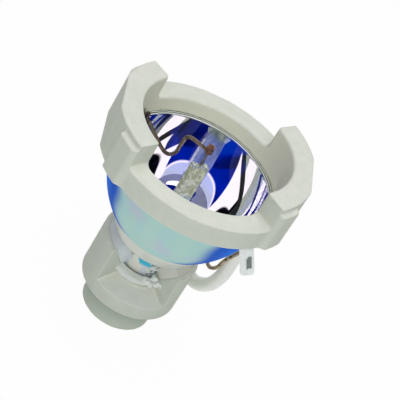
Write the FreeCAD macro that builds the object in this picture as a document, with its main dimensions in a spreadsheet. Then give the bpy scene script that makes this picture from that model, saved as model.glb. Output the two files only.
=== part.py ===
"""Reflector lamp with a ceramic front ring, a glass reflector, a double ended quartz burner
and a ceramic rear holder.

+Z is the optical axis and the light leaves upwards. The origin is the centre of the flat rear
face of the holder's stub. +X runs through the middle of the lug that carries the terminals.
All lengths are in millimetres and all angles in degrees.
"""
import FreeCAD
import Part
import math
import os

import Sketcher

# Driving dimensions

SIZES = {
    # Steps in height, from the stub's rear face up to the lugs
    "stub_height": 10.4,
    "holder_height": 18.4,
    "vertex_gap": 2.6,
    "rim_rise": 0.45,
    "seat_depth": 1.45,
    "ring_height": 7.1,
    "lug_height": 8.9,
    # Glass reflector
    "mirror_radius": 23.4,
    "mirror_half_length": 30.5,
    "glass_wall": 3.7,
    "glass_reach": 3.4,
    "glass_shift": 2.3,
    "neck_radius": 7.5,
    "neck_wall": 1.9,
    "shoulder_fillet": 3.2,
    "shoulder_fillet_inside": 1.6,
    # Ceramic front ring
    "bore_step": 1.2,
    "seat_clearance": 0.4,
    "ring_wall": 4.5,
    "lug_half_angle": 43.5,
    "lug_lean": 2.1,
    "lug_flat_depth": 1.15,
    "lug_root_fillet": 2.2,
    "ring_chamfer": 0.5,
    "buttress_rise": 1.5,
    "buttress_drop": 2.2,
    "buttress_run": 15.1,
    "buttress_corner": 2.4,
    "buttress_end": 1.1,
    "notch_angle": 149.0,
    "notch_width": 1.9,
    # Ceramic rear holder
    "stub_radius": 11.6,
    "stub_chamfer": 0.8,
    "holder_radius": 16.15,
    "holder_chamfer": 0.7,
    "jaw_inner_radius": 14.4,
    "throat_depth": 2.9,
    "neck_clearance": 0.25,
    "boss_radius": 9.2,
    "window_half_angle": 44.0,
    "window_turn": -91.5,
    "window_rise": 7.5,
    "window_floor_drop": 2.0,
    "seat_rise": 8.5,
    "chamber_radius": 6.2,
    "chamber_rise": 2.5,
    "channel_turn": 85.0,
    "channel_clearance": 1.8,
    # Quartz burner
    "bulb_radius": 5.2,
    "bulb_half_length": 6.4,
    "bulb_wall": 1.3,
    "seal_width": 5.4,
    "seal_web": 1.7,
    "seal_rib": 2.7,
    "seal_rib_width": 1.1,
    "seal_turn": 20.0,
    "front_seal_rise": 0.85,
    "rear_seal_rise": 2.6,
    "foil_width": 2.4,
    "foil_thickness": 0.12,
    "foil_length": 8.0,
    "seal_cover": 1.6,
    "electrode_radius": 0.4,
    "electrode_gap": 2.8,
    "coil_radius": 0.85,
    "coil_length": 2.4,
    "pin_radius": 0.5,
    "front_pin_length": 7.1,
    "rear_pin_drop": 0.8,
    "plug_length": 7.0,
    # Front lead and its fittings
    "weld_radius": 1.15,
    "weld_length": 2.9,
    "strand_radius": 0.58,
    "clip_inset": 0.75,
    "clip_radius": 0.7,
    "clip_drop": 1.05,
    "clip_length": 3.8,
    "clip_foot": 0.35,
    # Terminals under the ring
    "terminal_turn": 52.0,
    "terminal_width": 5.0,
    "terminal_thickness": 0.8,
    "terminal_bend": 46.0,
    "terminal_bend_radius": 0.5,
    "terminal_length": 7.6,
    "terminal_tip_chamfer": 0.7,
    "terminal_slot_start": 2.9,
    "terminal_slot_width": 1.4,
    "terminal_slot_offset": 0.7,
    "terminal_slot_length": 3.3,
    "terminal_slot_depth": 0.5,
    "foot_inset": 3.8,
    "foot_length": 2.3,
    "rivet_radius": 0.9,
    "rivet_head_radius": 1.2,
    "rivet_head_height": 0.7,
    "rivet_depth": 4.0,
    "lead_end_offset": 3.8,
    # Rear lead
    "sleeve_radius": 2.35,
    "core_radius": 0.6,
    "lead_rise": 3.2,
    "lead_drop": 3.6,
    "sleeve_skip": 4.6,
    "crimp_radius": 1.3,
    "crimp_length": 4.3,
    # Cement
    "bead_width": 0.9,
    "bead_height": 1.5,
}

# Levels and radii that follow from the sizes, each a sum of sizes and of earlier sums
SUMS = {
    "stub_top": ("stub_height",),
    "holder_top": ("stub_top", "holder_height"),
    "mirror_centre": ("holder_top", "vertex_gap", "mirror_half_length"),
    "rim_front": ("mirror_centre", "rim_rise"),
    "ring_back": ("rim_front", "-seat_depth"),
    "ring_face": ("ring_back", "ring_height"),
    "lug_top": ("ring_face", "lug_height"),
    "glass_radius": ("mirror_radius", "glass_wall"),
    "glass_half_length": ("mirror_half_length", "glass_reach"),
    "glass_centre": ("mirror_centre", "glass_shift"),
    "ring_bore": ("mirror_radius", "bore_step"),
    "seat_radius": ("glass_radius", "seat_clearance"),
    "ring_radius": ("seat_radius", "ring_wall"),
    "lug_flat": ("ring_radius", "-lug_flat_depth"),
    "buttress_radius": ("ring_radius", "buttress_rise"),
    "neck_seat": ("stub_top", "seat_rise"),
    "jaw_throat_height": ("neck_seat", "throat_depth"),
    "window_floor": ("stub_top", "window_rise"),
    "chamber_floor": ("stub_top", "chamber_rise"),
    "lead_height": ("chamber_floor", "lead_rise"),
    "plug_top": ("neck_seat", "plug_length"),
    "front_seal_end": ("rim_front", "front_seal_rise"),
    "rear_seal_end": ("neck_seat", "rear_seal_rise"),
    "front_pin_end": ("front_seal_end", "front_pin_length"),
    "rear_pin_end": ("lead_height", "-rear_pin_drop"),
    "foot_start": ("ring_radius", "-foot_inset"),
}

doc = FreeCAD.newDocument("reflector_lamp")
sheet = doc.addObject("Spreadsheet::Sheet", "Sizes")
for row, (alias, value) in enumerate(SIZES.items(), start=1):
    sheet.set("A%d" % row, alias)
    sheet.set("B%d" % row, str(value))
    sheet.setAlias("B%d" % row, alias)
doc.recompute()

PARTS = []


def formula(alias):
    """Expression for a size or a sum, in the sheet's cells."""
    if alias.startswith("-"):
        return "-1 * " + formula(alias[1:])
    if alias in SUMS:
        return "(" + " + ".join(formula(part) for part in SUMS[alias]) + ")"
    return "Sizes." + alias


def size(alias):
    """Value of a cell of the sheet, or of a sum of cells."""
    if alias.startswith("-"):
        return -size(alias[1:])
    if alias in SUMS:
        return sum(size(part) for part in SUMS[alias])
    return float(getattr(sheet, alias))


def vector(x, y, z=0.0):
    return FreeCAD.Vector(x, y, z)


def around(radius, angle, height=0.0):
    """Point at a radius and an angle about the optical axis."""
    turn = math.radians(angle)
    return vector(radius * math.cos(turn), radius * math.sin(turn), height)


def keep(piece, label):
    """Give a finished piece its name and put it on the list of sub-parts."""
    piece.Label = label
    PARTS.append(piece)
    return piece


def bind(piece, prop, expression):
    piece.setExpression(prop, expression)


# Helpers for PartDesign bodies


def new_body(name):
    return doc.addObject("PartDesign::Body", name)


def origin_feature(body, role):
    for feature in body.Origin.OriginFeatures:
        if feature.Role == role:
            return feature
    raise RuntimeError("no origin feature " + role)


def new_sketch(body, name, role, height=None, turn=0.0):
    """Sketch on one of the body's own origin planes, raised by an expression or turned about Z."""
    sketch = body.newObject("Sketcher::SketchObject", name)
    sketch.AttachmentSupport = [(origin_feature(body, role), "")]
    sketch.MapMode = "FlatFace"
    if height is not None:
        bind(sketch, ".AttachmentOffset.Base.z", height)
    if turn:
        axis = vector(0, 1, 0)
        sketch.AttachmentOffset = FreeCAD.Placement(vector(0, 0, 0), FreeCAD.Rotation(axis, turn))
    return sketch


def draw_outline(sketch, points):
    """Closed outline of straight lines. A point may be a pair (through, end) for an arc."""
    start = points[0]
    here = start
    edges = []
    for step in points[1:]:
        if isinstance(step, tuple):
            through, end = step
            edges.append(Part.Arc(here, through, end))
        else:
            end = step
            edges.append(Part.LineSegment(here, end))
        here = end
    if here.distanceToPoint(start) > 1e-6:
        edges.append(Part.LineSegment(here, start))
    sketch.addGeometry(edges, False)
    for index in range(len(edges)):
        following = (index + 1) % len(edges)
        join = Sketcher.Constraint("Coincident", index, end_of(edges, index),
                                   following, start_of(edges, following))
        sketch.addConstraint(join)


def runs_backwards(edge):
    """A sketch keeps every arc anticlockwise, so an arc drawn clockwise swaps its ends."""
    if not isinstance(edge, Part.Arc):
        return False
    arc = edge.toShape().Curve if hasattr(edge, "toShape") else edge
    return arc.Axis.z < 0


def end_of(edges, index):
    return 1 if runs_backwards(edges[index]) else 2


def start_of(edges, index):
    return 2 if runs_backwards(edges[index]) else 1


def section_of(points):
    """Points of a revolved section, given as radius and height, in a sketch on the XZ plane."""
    return [vector(radius, height) for radius, height in points]


def add_revolution(body, name, section):
    sketch = new_sketch(body, name + "_section", "XZ_Plane")
    draw_outline(sketch, section)
    turned = body.newObject("PartDesign::Revolution", name)
    turned.Profile = sketch
    turned.ReferenceAxis = (sketch, ["V_Axis"])
    turned.Angle = 360.0
    doc.recompute()
    return turned


def add_pad(body, name, outline, base, length):
    sketch = new_sketch(body, name + "_outline", "XY_Plane", height=base)
    draw_outline(sketch, outline)
    pad = body.newObject("PartDesign::Pad", name)
    pad.Profile = sketch
    bind(pad, "Length", length)
    doc.recompute()
    return pad


def add_pocket(body, name, outline, base, length):
    """Pocket cut upwards from a plane that lies below what it cuts."""
    before = body.Shape.Volume
    sketch = new_sketch(body, name + "_outline", "XY_Plane", height=base)
    draw_outline(sketch, outline)
    pocket = body.newObject("PartDesign::Pocket", name)
    pocket.Profile = sketch
    pocket.Reversed = True
    bind(pocket, "Length", length)
    doc.recompute()
    if pocket.Shape.Volume > before - 1e-6:
        raise RuntimeError(name + " cuts nothing")
    return pocket


def add_polar_pattern(body, name, features, count):
    pattern = body.newObject("PartDesign::PolarPattern", name)
    pattern.Originals = features
    pattern.Axis = (origin_feature(body, "Z_Axis"), [""])
    pattern.Angle = 360.0
    pattern.Occurrences = count
    body.Tip = pattern
    doc.recompute()
    return pattern


def add_mirrored(body, name, features):
    """Second half of a symmetrical form, on the other side of the upright plane X = 0."""
    mirrored = body.newObject("PartDesign::Mirrored", name)
    mirrored.Originals = features
    mirrored.MirrorPlane = (origin_feature(body, "YZ_Plane"), [""])
    body.Tip = mirrored
    doc.recompute()
    return mirrored


def edges_where(shape, test):
    """Names of the edges whose middle point passes a test."""
    names = []
    for index, edge in enumerate(shape.Edges, start=1):
        middle = edge.valueAt(0.5 * (edge.FirstParameter + edge.LastParameter))
        if test(edge, middle):
            names.append("Edge%d" % index)
    return names


def closed_sector(inner, outer, start, end):
    """Annular sector between two radii and two angles, with its last arc closing it."""
    middle = 0.5 * (start + end)
    return [around(outer, start), (around(outer, middle), around(outer, end)),
            around(inner, end), (around(inner, middle), around(inner, start))]


def bar_outline(start, end, width, turn):
    """Rectangle that runs outwards along an angle, from one radius to another."""
    side = 0.5 * width
    corners = [vector(start, -side), vector(end, -side), vector(end, side), vector(start, side)]
    rotation = FreeCAD.Rotation(vector(0, 0, 1), turn)
    return [rotation.multVec(corner) for corner in corners]


def disc_outline(radius, turn, distance):
    """Circle as two arcs, for a round hole."""
    centre = around(distance, turn)
    left = centre + vector(-radius, 0)
    right = centre + vector(radius, 0)
    above = centre + vector(0, radius)
    below = centre + vector(0, -radius)
    return [left, (below, right), (above, left)]


# Glass form, shared by the reflector and the cement that fits it


def ellipse_radius(height, radius, half_length, centre):
    share = 1.0 - ((height - centre) / half_length) ** 2
    return radius * math.sqrt(max(0.0, share))


def glass_radius_at(height):
    return ellipse_radius(height, size("glass_radius"), size("glass_half_length"), size("glass_centre"))


def height_at(radius, full_radius, half_length, centre):
    """Height where the rear half of an ellipse has a radius."""
    return centre - half_length * math.sqrt(1.0 - (radius / full_radius) ** 2)


def ellipse_arc(low, high, radius, half_length, centre):
    """Edge of an ellipse in the XZ plane, about the Z axis, between two heights."""
    curve = Part.Ellipse(vector(0, 0, centre + half_length), vector(radius, 0, centre), vector(0, 0, centre))
    first = vector(ellipse_radius(low, radius, half_length, centre), 0, low)
    last = vector(ellipse_radius(high, radius, half_length, centre), 0, high)
    ends = sorted([curve.parameter(first), curve.parameter(last)])
    return Part.Edge(curve, ends[0], ends[1])


def line_edges(points):
    """Straight edges through points given as radius and height."""
    places = [vector(radius, 0, height) for radius, height in points]
    return [Part.makeLine(a, b) for a, b in zip(places, places[1:])]


def revolve_edges(edges, angle=360.0):
    """Solid of revolution about the optical axis from a closed loop of edges in any order."""
    loop = Part.Wire(Part.__sortEdges__(edges))
    solid = Part.Face(loop).revolve(vector(0, 0, 0), vector(0, 0, 1), angle)
    if solid.Volume < 0:
        solid.reverse()
    return solid


def feature(name, shape):
    piece = doc.addObject("Part::Feature", name)
    piece.Shape = shape
    return piece


# Front ring


def make_front_ring():
    """One piece ceramic ring with two raised lugs, their flats and the buttresses at their ends."""
    bore = size("ring_bore")
    outer = size("ring_radius")
    seat = size("seat_radius")
    back = size("ring_back")
    shoulder = size("rim_front")
    face = size("ring_face")
    top = size("lug_top")
    half = size("lug_half_angle")
    body = new_body("front_ring")
    section = section_of([(bore, shoulder), (seat, shoulder), (seat, back), (outer, back),
                          (outer, face), (bore, face)])
    add_revolution(body, "low_ring", section)

    near_end = -half - size("lug_lean")
    far_end = half - size("lug_lean")
    lug = add_pad(body, "lug", closed_sector(bore, outer, near_end, far_end),
                  formula("ring_face"), "Sizes.lug_height")
    add_mirrored(body, "second_lug", [lug])

    def is_lug_root(edge, middle):
        level = abs(middle.z - face) < 1e-4 and edge.BoundBox.ZLength < 1e-4
        angle = math.degrees(math.atan2(middle.y, abs(middle.x)))
        at_end = min(abs(angle - near_end), abs(angle - far_end)) < 0.5
        return level and at_end and edge.Length > 0.5 * (outer - bore)

    roots = edges_where(body.Shape, is_lug_root)
    if len(roots) != 4:
        raise RuntimeError("expected four lug roots, found %d" % len(roots))
    base = body.Tip
    fillet = body.newObject("PartDesign::Fillet", "lug_roots")
    fillet.Base = (base, roots)
    bind(fillet, "Radius", "Sizes.lug_root_fillet")
    body.Tip = fillet
    doc.recompute()

    buttresses = []
    reach = size("buttress_radius")
    inside = outer - 2.0
    for side, name, lug_end in ((1, "upper", far_end), (-1, "lower", -near_end)):
        start = lug_end - size("buttress_run")
        corner = lug_end - size("buttress_corner")
        end = lug_end + size("buttress_end")
        low_outline = buttress_outline(side, inside, reach, outer, start, corner, end)
        low_name = "buttress_" + name
        buttresses.append(add_pad(body, low_name, low_outline, formula("ring_back"),
                                  "Sizes.ring_height"))
        cut_radius = end_plane_radius(reach, outer, corner, end, lug_end)
        high_outline = buttress_outline(side, outer - 0.5, reach, cut_radius, start, corner, lug_end)
        buttresses.append(add_pad(body, low_name + "_front", high_outline, formula("ring_face"),
                                  "Sizes.lug_height - Sizes.buttress_drop"))
    flat = size("lug_flat")
    clear = reach + 1.0
    half_chord = math.sqrt(outer ** 2 - flat ** 2) + 0.5
    flat_outline = [vector(flat, -half_chord), vector(clear, -half_chord),
                    vector(clear, half_chord), vector(flat, half_chord)]
    flat_cut = add_pocket(body, "lug_flat", flat_outline, formula("ring_back") + " - 1",
                          "Sizes.ring_height + Sizes.lug_height + 2")
    add_mirrored(body, "second_side", buttresses + [flat_cut])

    turn = size("terminal_turn")
    centre = size("foot_start") + 0.5 * size("foot_length")
    for side, name in ((-1, "near"), (1, "far")):
        add_pocket(body, name + "_rivet_hole", disc_outline(size("rivet_radius"), side * turn, centre),
                   formula("ring_back") + " - 1", "Sizes.rivet_depth + 1")
    notch_end = seat + 2.0 * size("strand_radius")
    notch = bar_outline(bore - 1.0, notch_end, size("notch_width"), size("notch_angle"))
    add_pocket(body, "wire_notch", notch, formula("ring_back") + " - 1",
               "Sizes.seat_depth + 1 + 3.2 * Sizes.strand_radius")

    def is_inner_rim(edge, middle):
        radius = math.hypot(middle.x, middle.y)
        flat_edge = abs(edge.BoundBox.ZLength) < 1e-4
        return flat_edge and abs(radius - bore) < 1e-3 and (middle.z > face - 1e-4)

    rims = edges_where(body.Shape, is_inner_rim)
    base = body.Tip
    chamfer = body.newObject("PartDesign::Chamfer", "inner_rims")
    chamfer.Base = (base, rims)
    bind(chamfer, "Size", "Sizes.ring_chamfer")
    body.Tip = chamfer
    doc.recompute()
    return keep(body, "front_ring")


def end_plane_radius(reach, outer, corner, end, half):
    """Radius where a buttress's slanting end meets the lug's end plane."""
    a = around(reach, corner)
    b = around(outer, end)
    ray = around(1.0, half)
    along = b - a
    return (a.x * along.y - a.y * along.x) / (ray.x * along.y - ray.y * along.x)


def buttress_outline(side, inside, reach, end_radius, start, corner, end):
    middle = 0.5 * (start + corner)
    points = [around(inside, side * start), around(reach, side * start),
              (around(reach, side * middle), around(reach, side * corner)),
              around(end_radius, side * end), around(inside, side * end)]
    return points


# Reflector


def make_reflector():
    """Blown glass ellipsoid with a plain rim and a straight neck."""
    rim = size("rim_front")
    neck = size("neck_radius")
    bore = neck - size("neck_wall")
    glass = (size("glass_radius"), size("glass_half_length"), size("glass_centre"))
    mirror = (size("mirror_radius"), size("mirror_half_length"), size("mirror_centre"))
    neck_top_outside = height_at(neck, *glass)
    neck_top_inside = height_at(bore, *mirror)
    edges = [ellipse_arc(neck_top_outside, rim, *glass)]
    edges += line_edges([(ellipse_radius(rim, *glass), rim), (ellipse_radius(rim, *mirror), rim)])
    edges.append(ellipse_arc(neck_top_inside, rim, *mirror))
    end = size("neck_seat")
    edges += line_edges([(bore, neck_top_inside), (bore, end), (neck, end), (neck, neck_top_outside)])
    glass_body = revolve_edges(edges)
    outside = ring_edges(glass_body, neck, neck_top_outside)
    glass_body = glass_body.makeFillet(size("shoulder_fillet"), outside)
    inside = ring_edges(glass_body, bore, neck_top_inside)
    glass_body = glass_body.makeFillet(size("shoulder_fillet_inside"), inside)
    return keep(feature("reflector", glass_body), "reflector")


def ring_edges(shape, radius, height):
    """Circular edges of a shape at a radius and a height."""
    found = []
    for edge in shape.Edges:
        place = edge.valueAt(edge.FirstParameter)
        level = abs(place.z - height) < 1e-3 and edge.BoundBox.ZLength < 1e-3
        if level and abs(math.hypot(place.x, place.y) - radius) < 1e-3:
            found.append(edge)
    return found


# Rear holder


def make_base_holder():
    """One piece ceramic holder: a stub, a body with two windows and a throat for the neck."""
    stub = size("stub_radius")
    outer = size("holder_radius")
    stub_top = size("stub_top")
    top = size("holder_top")
    break_edge = size("stub_chamfer")
    bevel = size("holder_chamfer")
    throat = size("neck_radius") + size("neck_clearance")
    throat_top = size("jaw_throat_height")
    chamber = size("chamber_radius")
    floor = size("chamber_floor")
    body = new_body("base_holder")
    section = section_of([
        (0, 0), (stub - break_edge, 0), (stub, break_edge), (stub, stub_top),
        (outer - bevel, stub_top), (outer, stub_top + bevel), (outer, top),
        (size("jaw_inner_radius"), top), (size("boss_radius"), throat_top), (throat, throat_top),
        (throat, size("neck_seat")), (chamber, size("neck_seat")), (chamber, floor), (0, floor)])
    add_revolution(body, "turned_form", section)

    before = body.Shape.Volume
    inner = size("boss_radius")
    level = size("window_floor")
    slope = size("window_floor_drop") / (outer - inner)
    clear = outer + 2.0
    window_section = section_of([(inner, level), (clear, level - slope * (clear - inner)),
                                 (clear, top + 2.0), (inner, top + 2.0)])
    sketch = new_sketch(body, "window_section", "XZ_Plane", turn=size("window_turn"))
    draw_outline(sketch, window_section)
    window = body.newObject("PartDesign::Groove", "window")
    window.Profile = sketch
    window.ReferenceAxis = (sketch, ["V_Axis"])
    window.Midplane = True
    bind(window, "Angle", "2 * Sizes.window_half_angle")
    doc.recompute()
    if window.Shape.Volume > before - 1.0:
        raise RuntimeError("the window cuts nothing")
    add_polar_pattern(body, "second_window", [window], 2)
    width = 2.0 * size("sleeve_radius") + size("channel_clearance")
    channel = bar_outline(chamber - 2.0, clear, width, size("channel_turn"))
    low = "(%s - Sizes.sleeve_radius - 0.3 * Sizes.channel_clearance)" % formula("lead_height")
    add_pocket(body, "lead_channel", channel, low, formula("jaw_throat_height") + " + 1 - " + low)
    return keep(body, "base_holder")


# Cement


def make_neck_cement(reflector):
    """Cement between the glass and each jaw of the holder. The windows stay open."""
    glass = (size("glass_radius"), size("glass_half_length"), size("glass_centre"))
    neck = size("neck_radius")
    throat_top = size("jaw_throat_height")
    jaw = size("jaw_inner_radius")
    top = size("holder_top")
    boss = size("boss_radius")
    crown_radius = 0.5 * (jaw + neck)
    crown = height_at(crown_radius, *glass)
    in_wall = neck - 0.5
    wall_height = height_at(in_wall, *glass) + 0.6
    half = 90.0 - size("window_half_angle") - 0.5
    for side, name in ((0.0, "right"), (180.0, "left")):
        corners = [(in_wall, throat_top), (boss, throat_top), (jaw, top), (crown_radius, crown),
                   (crown_radius - 0.2, crown + 0.5), (in_wall, wall_height), (in_wall, throat_top)]
        solid = revolve_edges(line_edges(corners), 2.0 * half)
        turn = size("window_turn") + 90.0 + side - half
        solid.rotate(vector(0, 0, 0), vector(0, 0, 1), turn)
        label = "neck_cement_" + name
        keep(feature(label, solid.cut(reflector.Shape)), label)


def make_ring_cement():
    """Cement bead in the corner between the ring's rear face and the glass."""
    seat = size("seat_radius")
    back = size("ring_back")
    low = back - size("bead_height")
    glass = (size("glass_radius"), size("glass_half_length"), size("glass_centre"))
    edges = [ellipse_arc(low, size("rim_front"), *glass)]
    edges += line_edges([(glass_radius_at(size("rim_front")), size("rim_front")),
                         (seat, size("rim_front")), (seat, back),
                         (glass_radius_at(back) + size("bead_width"), back),
                         (glass_radius_at(low), low)])
    bead = revolve_edges(edges)
    seat_end = seat + 2.0 * size("strand_radius") + 1.0
    inner = 0.8 * seat
    gap = Part.makeBox(seat_end - inner, size("notch_width"), 4.0 * size("bead_height"),
                       vector(inner, -0.5 * size("notch_width"), low - 1.0))
    gap.rotate(vector(0, 0, 0), vector(0, 0, 1), size("notch_angle"))
    return keep(feature("ring_cement", bead.cut(gap)), "ring_cement")


def make_seal_plug():
    """Cement plug that holds the burner's rear seal in the neck of the reflector."""
    radius = size("neck_radius") - size("neck_wall")
    low = size("neck_seat")
    plug = Part.makeCylinder(radius, size("plug_top") - low, vector(0, 0, low))
    plug = plug.cut(seal_form(low - 1.0, size("plug_top") + 1.0))
    pin = Part.makeCylinder(size("pin_radius"), 10.0, vector(0, 0, low - 5.0))
    below_seal = Part.makeCylinder(radius + 1.0, size("rear_seal_end") - low + 1.0,
                                   vector(0, 0, low - 1.0))
    lower = Part.makeCylinder(radius, size("rear_seal_end") - low, vector(0, 0, low)).cut(pin)
    solid = plug.cut(below_seal).fuse(lower).removeSplitter()
    return keep(feature("seal_plug", solid), "seal_plug")


# Quartz burner


def seal_form(low, high):
    """Pressed seal of I section: a flat web with a rib along each edge."""
    width = size("seal_width")
    web = size("seal_web")
    rib = size("seal_rib")
    rib_width = size("seal_rib_width")
    length = high - low
    form = Part.makeBox(width, web, length, vector(-0.5 * width, -0.5 * web, low))
    for side in (-1, 1):
        centre = side * (0.5 * width - 0.5 * rib_width)
        bar = Part.makeBox(rib_width, rib, length, vector(centre - 0.5 * rib_width, -0.5 * rib, low))
        edges = [edge for edge in bar.Edges if edge.BoundBox.ZLength > 0.9 * length]
        form = form.fuse(bar.makeFillet(0.35 * rib_width, edges))
    form = form.removeSplitter()
    form.rotate(vector(0, 0, 0), vector(0, 0, 1), size("seal_turn"))
    return form


def focus_height():
    """Height of the rear focus of the mirror's ellipse, where the arc stands."""
    half = size("mirror_half_length")
    return size("mirror_centre") - math.sqrt(half ** 2 - size("mirror_radius") ** 2)


def burner_side(front):
    """Heights that belong to one end of the burner, from the bulb outwards."""
    sign = 1.0 if front else -1.0
    end = size("front_seal_end") if front else size("rear_seal_end")
    pin_end = size("front_pin_end") if front else size("rear_pin_end")
    middle = focus_height()
    tip = middle + sign * 0.5 * size("electrode_gap")
    foil_end = end - sign * 2.2 * size("seal_cover")
    foil_start = foil_end - sign * size("foil_length")
    return sign, tip, foil_start, foil_end, pin_end


def rod(radius, low, high):
    first = min(low, high)
    return Part.makeCylinder(radius, abs(high - low), vector(0, 0, first))


def foil_form(front):
    sign, tip, foil_start, foil_end, pin_end = burner_side(front)
    low = min(foil_start, foil_end)
    width = size("foil_width")
    thickness = size("foil_thickness")
    foil = Part.makeBox(width, thickness, abs(foil_end - foil_start),
                        vector(-0.5 * width, -0.5 * thickness, low))
    foil.rotate(vector(0, 0, 0), vector(0, 0, 1), size("seal_turn"))
    return foil


def electrode_form(front):
    """Tungsten rod with a wound tip."""
    sign, tip, foil_start, foil_end, pin_end = burner_side(front)
    stem = rod(size("electrode_radius"), tip, foil_start)
    coil_start = tip + sign * 0.35 * size("coil_radius")
    coil_end = coil_start + sign * size("coil_length")
    return stem.fuse(rod(size("coil_radius"), coil_start, coil_end)).removeSplitter()


def pin_form(front):
    sign, tip, foil_start, foil_end, pin_end = burner_side(front)
    return rod(size("pin_radius"), foil_end, pin_end)


def spheroid(radius, half_length, centre):
    """Ellipsoid of revolution about the optical axis."""
    edges = [ellipse_arc(centre - half_length, centre + half_length, radius, half_length, centre)]
    edges += line_edges([(0, centre - half_length), (0, centre + half_length)])
    return revolve_edges(edges)


def make_arc_tube():
    """Quartz bulb with a pressed seal at each end, hollow round the electrodes."""
    middle = focus_height()
    radius = size("bulb_radius")
    half = size("bulb_half_length")
    wall = size("bulb_wall")
    outside = spheroid(radius, half, middle)
    shoulder = 0.72 * half
    for low, high in ((size("rear_seal_end"), middle - shoulder),
                      (middle + shoulder, size("front_seal_end"))):
        outside = outside.fuse(seal_form(low, high))
    outside = outside.cut(spheroid(radius - wall, half - wall, middle)).removeSplitter()
    for front in (True, False):
        outside = outside.cut(electrode_form(front))
        outside = outside.cut(foil_form(front)).cut(pin_form(front))
    return keep(feature("arc_tube", outside), "arc_tube")


def make_burner_metal():
    """Electrodes turned as bodies, foils as boxes and pins as cylinders."""
    for front, name in ((True, "front"), (False, "rear")):
        sign, tip, foil_start, foil_end, pin_end = burner_side(front)
        electrode = new_body(name + "_electrode")
        thin = size("electrode_radius")
        thick = size("coil_radius")
        coil_start = tip + sign * 0.35 * thick
        coil_end = coil_start + sign * size("coil_length")
        outline = [(0, tip), (thin, tip), (thin, coil_start), (thick, coil_start),
                   (thick, coil_end), (thin, coil_end), (thin, foil_start), (0, foil_start)]
        add_revolution(electrode, name + "_electrode_form", section_of(outline))
        keep(electrode, name + "_electrode")

        foil = doc.addObject("Part::Box", name + "_foil")
        bind(foil, "Length", "Sizes.foil_width")
        bind(foil, "Width", "Sizes.foil_thickness")
        bind(foil, "Height", "Sizes.foil_length")
        turn = FreeCAD.Rotation(vector(0, 0, 1), size("seal_turn"))
        corner = turn.multVec(vector(-0.5 * size("foil_width"), -0.5 * size("foil_thickness")))
        corner.z = min(foil_start, foil_end)
        foil.Placement = FreeCAD.Placement(corner, turn)
        keep(foil, name + "_foil")

        pin = doc.addObject("Part::Cylinder", name + "_pin")
        bind(pin, "Radius", "Sizes.pin_radius")
        pin.Height = abs(pin_end - foil_end)
        pin.Placement.Base = vector(0, 0, min(foil_end, pin_end))
        keep(pin, name + "_pin")
    doc.recompute()


# Leads


def bent_path(points, share=0.45):
    """Straight runs through the points, joined by tangent arcs that use a share of each run."""
    edges = []
    here = points[0]
    radii = []
    for before, corner, after in zip(points, points[1:], points[2:]):
        inwards = (before - corner)
        outwards = (after - corner)
        reach = share * min(inwards.Length, outwards.Length)
        inwards.normalize()
        outwards.normalize()
        turn = math.pi - inwards.getAngle(outwards)
        radius = reach / math.tan(0.5 * turn)
        bisector = inwards + outwards
        bisector.normalize()
        first = corner + inwards * reach
        last = corner + outwards * reach
        centre_distance = radius / math.cos(0.5 * turn)
        through = corner + bisector * (centre_distance - radius)
        edges.append(Part.LineSegment(here, first).toShape())
        edges.append(Part.Arc(first, through, last).toShape())
        radii.append(round(radius, 1))
        here = last
    edges.append(Part.LineSegment(here, points[-1]).toShape())
    return Part.Wire(edges), radii


def tube(path, radius, bore=0.0):
    """Round tube along a path of tangent runs and arcs."""
    first = path.Edges[0]
    start = first.valueAt(first.FirstParameter)
    heading = first.tangentAt(first.FirstParameter)
    outlines = [Part.Wire(Part.makeCircle(radius, start, heading))]
    if bore:
        outlines.append(Part.Wire(Part.makeCircle(bore, start, heading)))
    solids = [path.makePipeShell([outline], True, True) for outline in outlines]
    solid = solids[0]
    if bore:
        solid = solids[0].cut(solids[1])
    return solid


def report_route(name, path, radii, solid, section):
    print("%s: length %.1f, tightest radius %.1f, volume over section times length %.4f"
          % (name, path.Length, min(radii), solid.Volume / (section * path.Length)))


# Front lead, from the pin to the clip on the rim, in one upright plane: share of the mirror's
# radius, and height over the rim in strand radii
FRONT_LEAD_ROUTE = [(0.0235, 11.8103), (0.1709, 11.2069), (0.359, 10.6034), (0.3739, 4.0517),
                    (0.3654, -2.8448), (0.453, -7.4138), (0.5726, -6.9828), (0.7692, -2.8448),
                    (0.9145, 0.6897), (0.9701, 1.7241)]

# The same wire through the notch and round behind the reflector to the near terminal: gap outside
# the glass or the holder in strand radii, angle, and share of the height from the holder's top to
# the ring's back
LEAD_TAIL_ROUTE = [(5.4138, 120, 0.875), (6.5862, 90, 0.626), (11.3793, 60, 0.346),
                   (10, 34, 0.053), (7.5862, 14, -0.115), (9.3103, -2, 0.04), (7.4138, -14, 0.29),
                   (2.3793, -22, 0.533), (2.8966, -31, 0.782)]

# The rear lead from the holder's channel round the holder and up to the far terminal, in the same
# way, with gaps in sleeve radii and heights from the level of the channel
REAR_LEAD_ROUTE = [(1.7872, 85, 0), (2.0426, 50, -0.013), (2.2128, 33, -0.049),
                   (2.7234, 20, -0.029), (3.5745, 9.5, 0.076), (3.8298, 2.5, 0.254),
                   (3.617, -0.5, 0.42), (1.9574, -2, 0.554), (1.383, -1, 0.699),
                   (1.3957, 9, 0.844), (1.6213, 25, 0.879)]


def front_lead_points():
    turn = size("notch_angle")
    points = [around(share * size("mirror_radius"), turn,
                     size("rim_front") + rise * size("strand_radius"))
              for share, rise in FRONT_LEAD_ROUTE]
    beside_pin = around(1.1 * size("pin_radius"), turn, points[0].z)
    return [beside_pin] + points[1:]


def point_over_rim():
    """First corner of the lead beyond the clip, in the ring's notch."""
    strand = size("strand_radius")
    return around(size("ring_bore") + strand, size("notch_angle"), size("rim_front") + 1.55 * strand)


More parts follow.
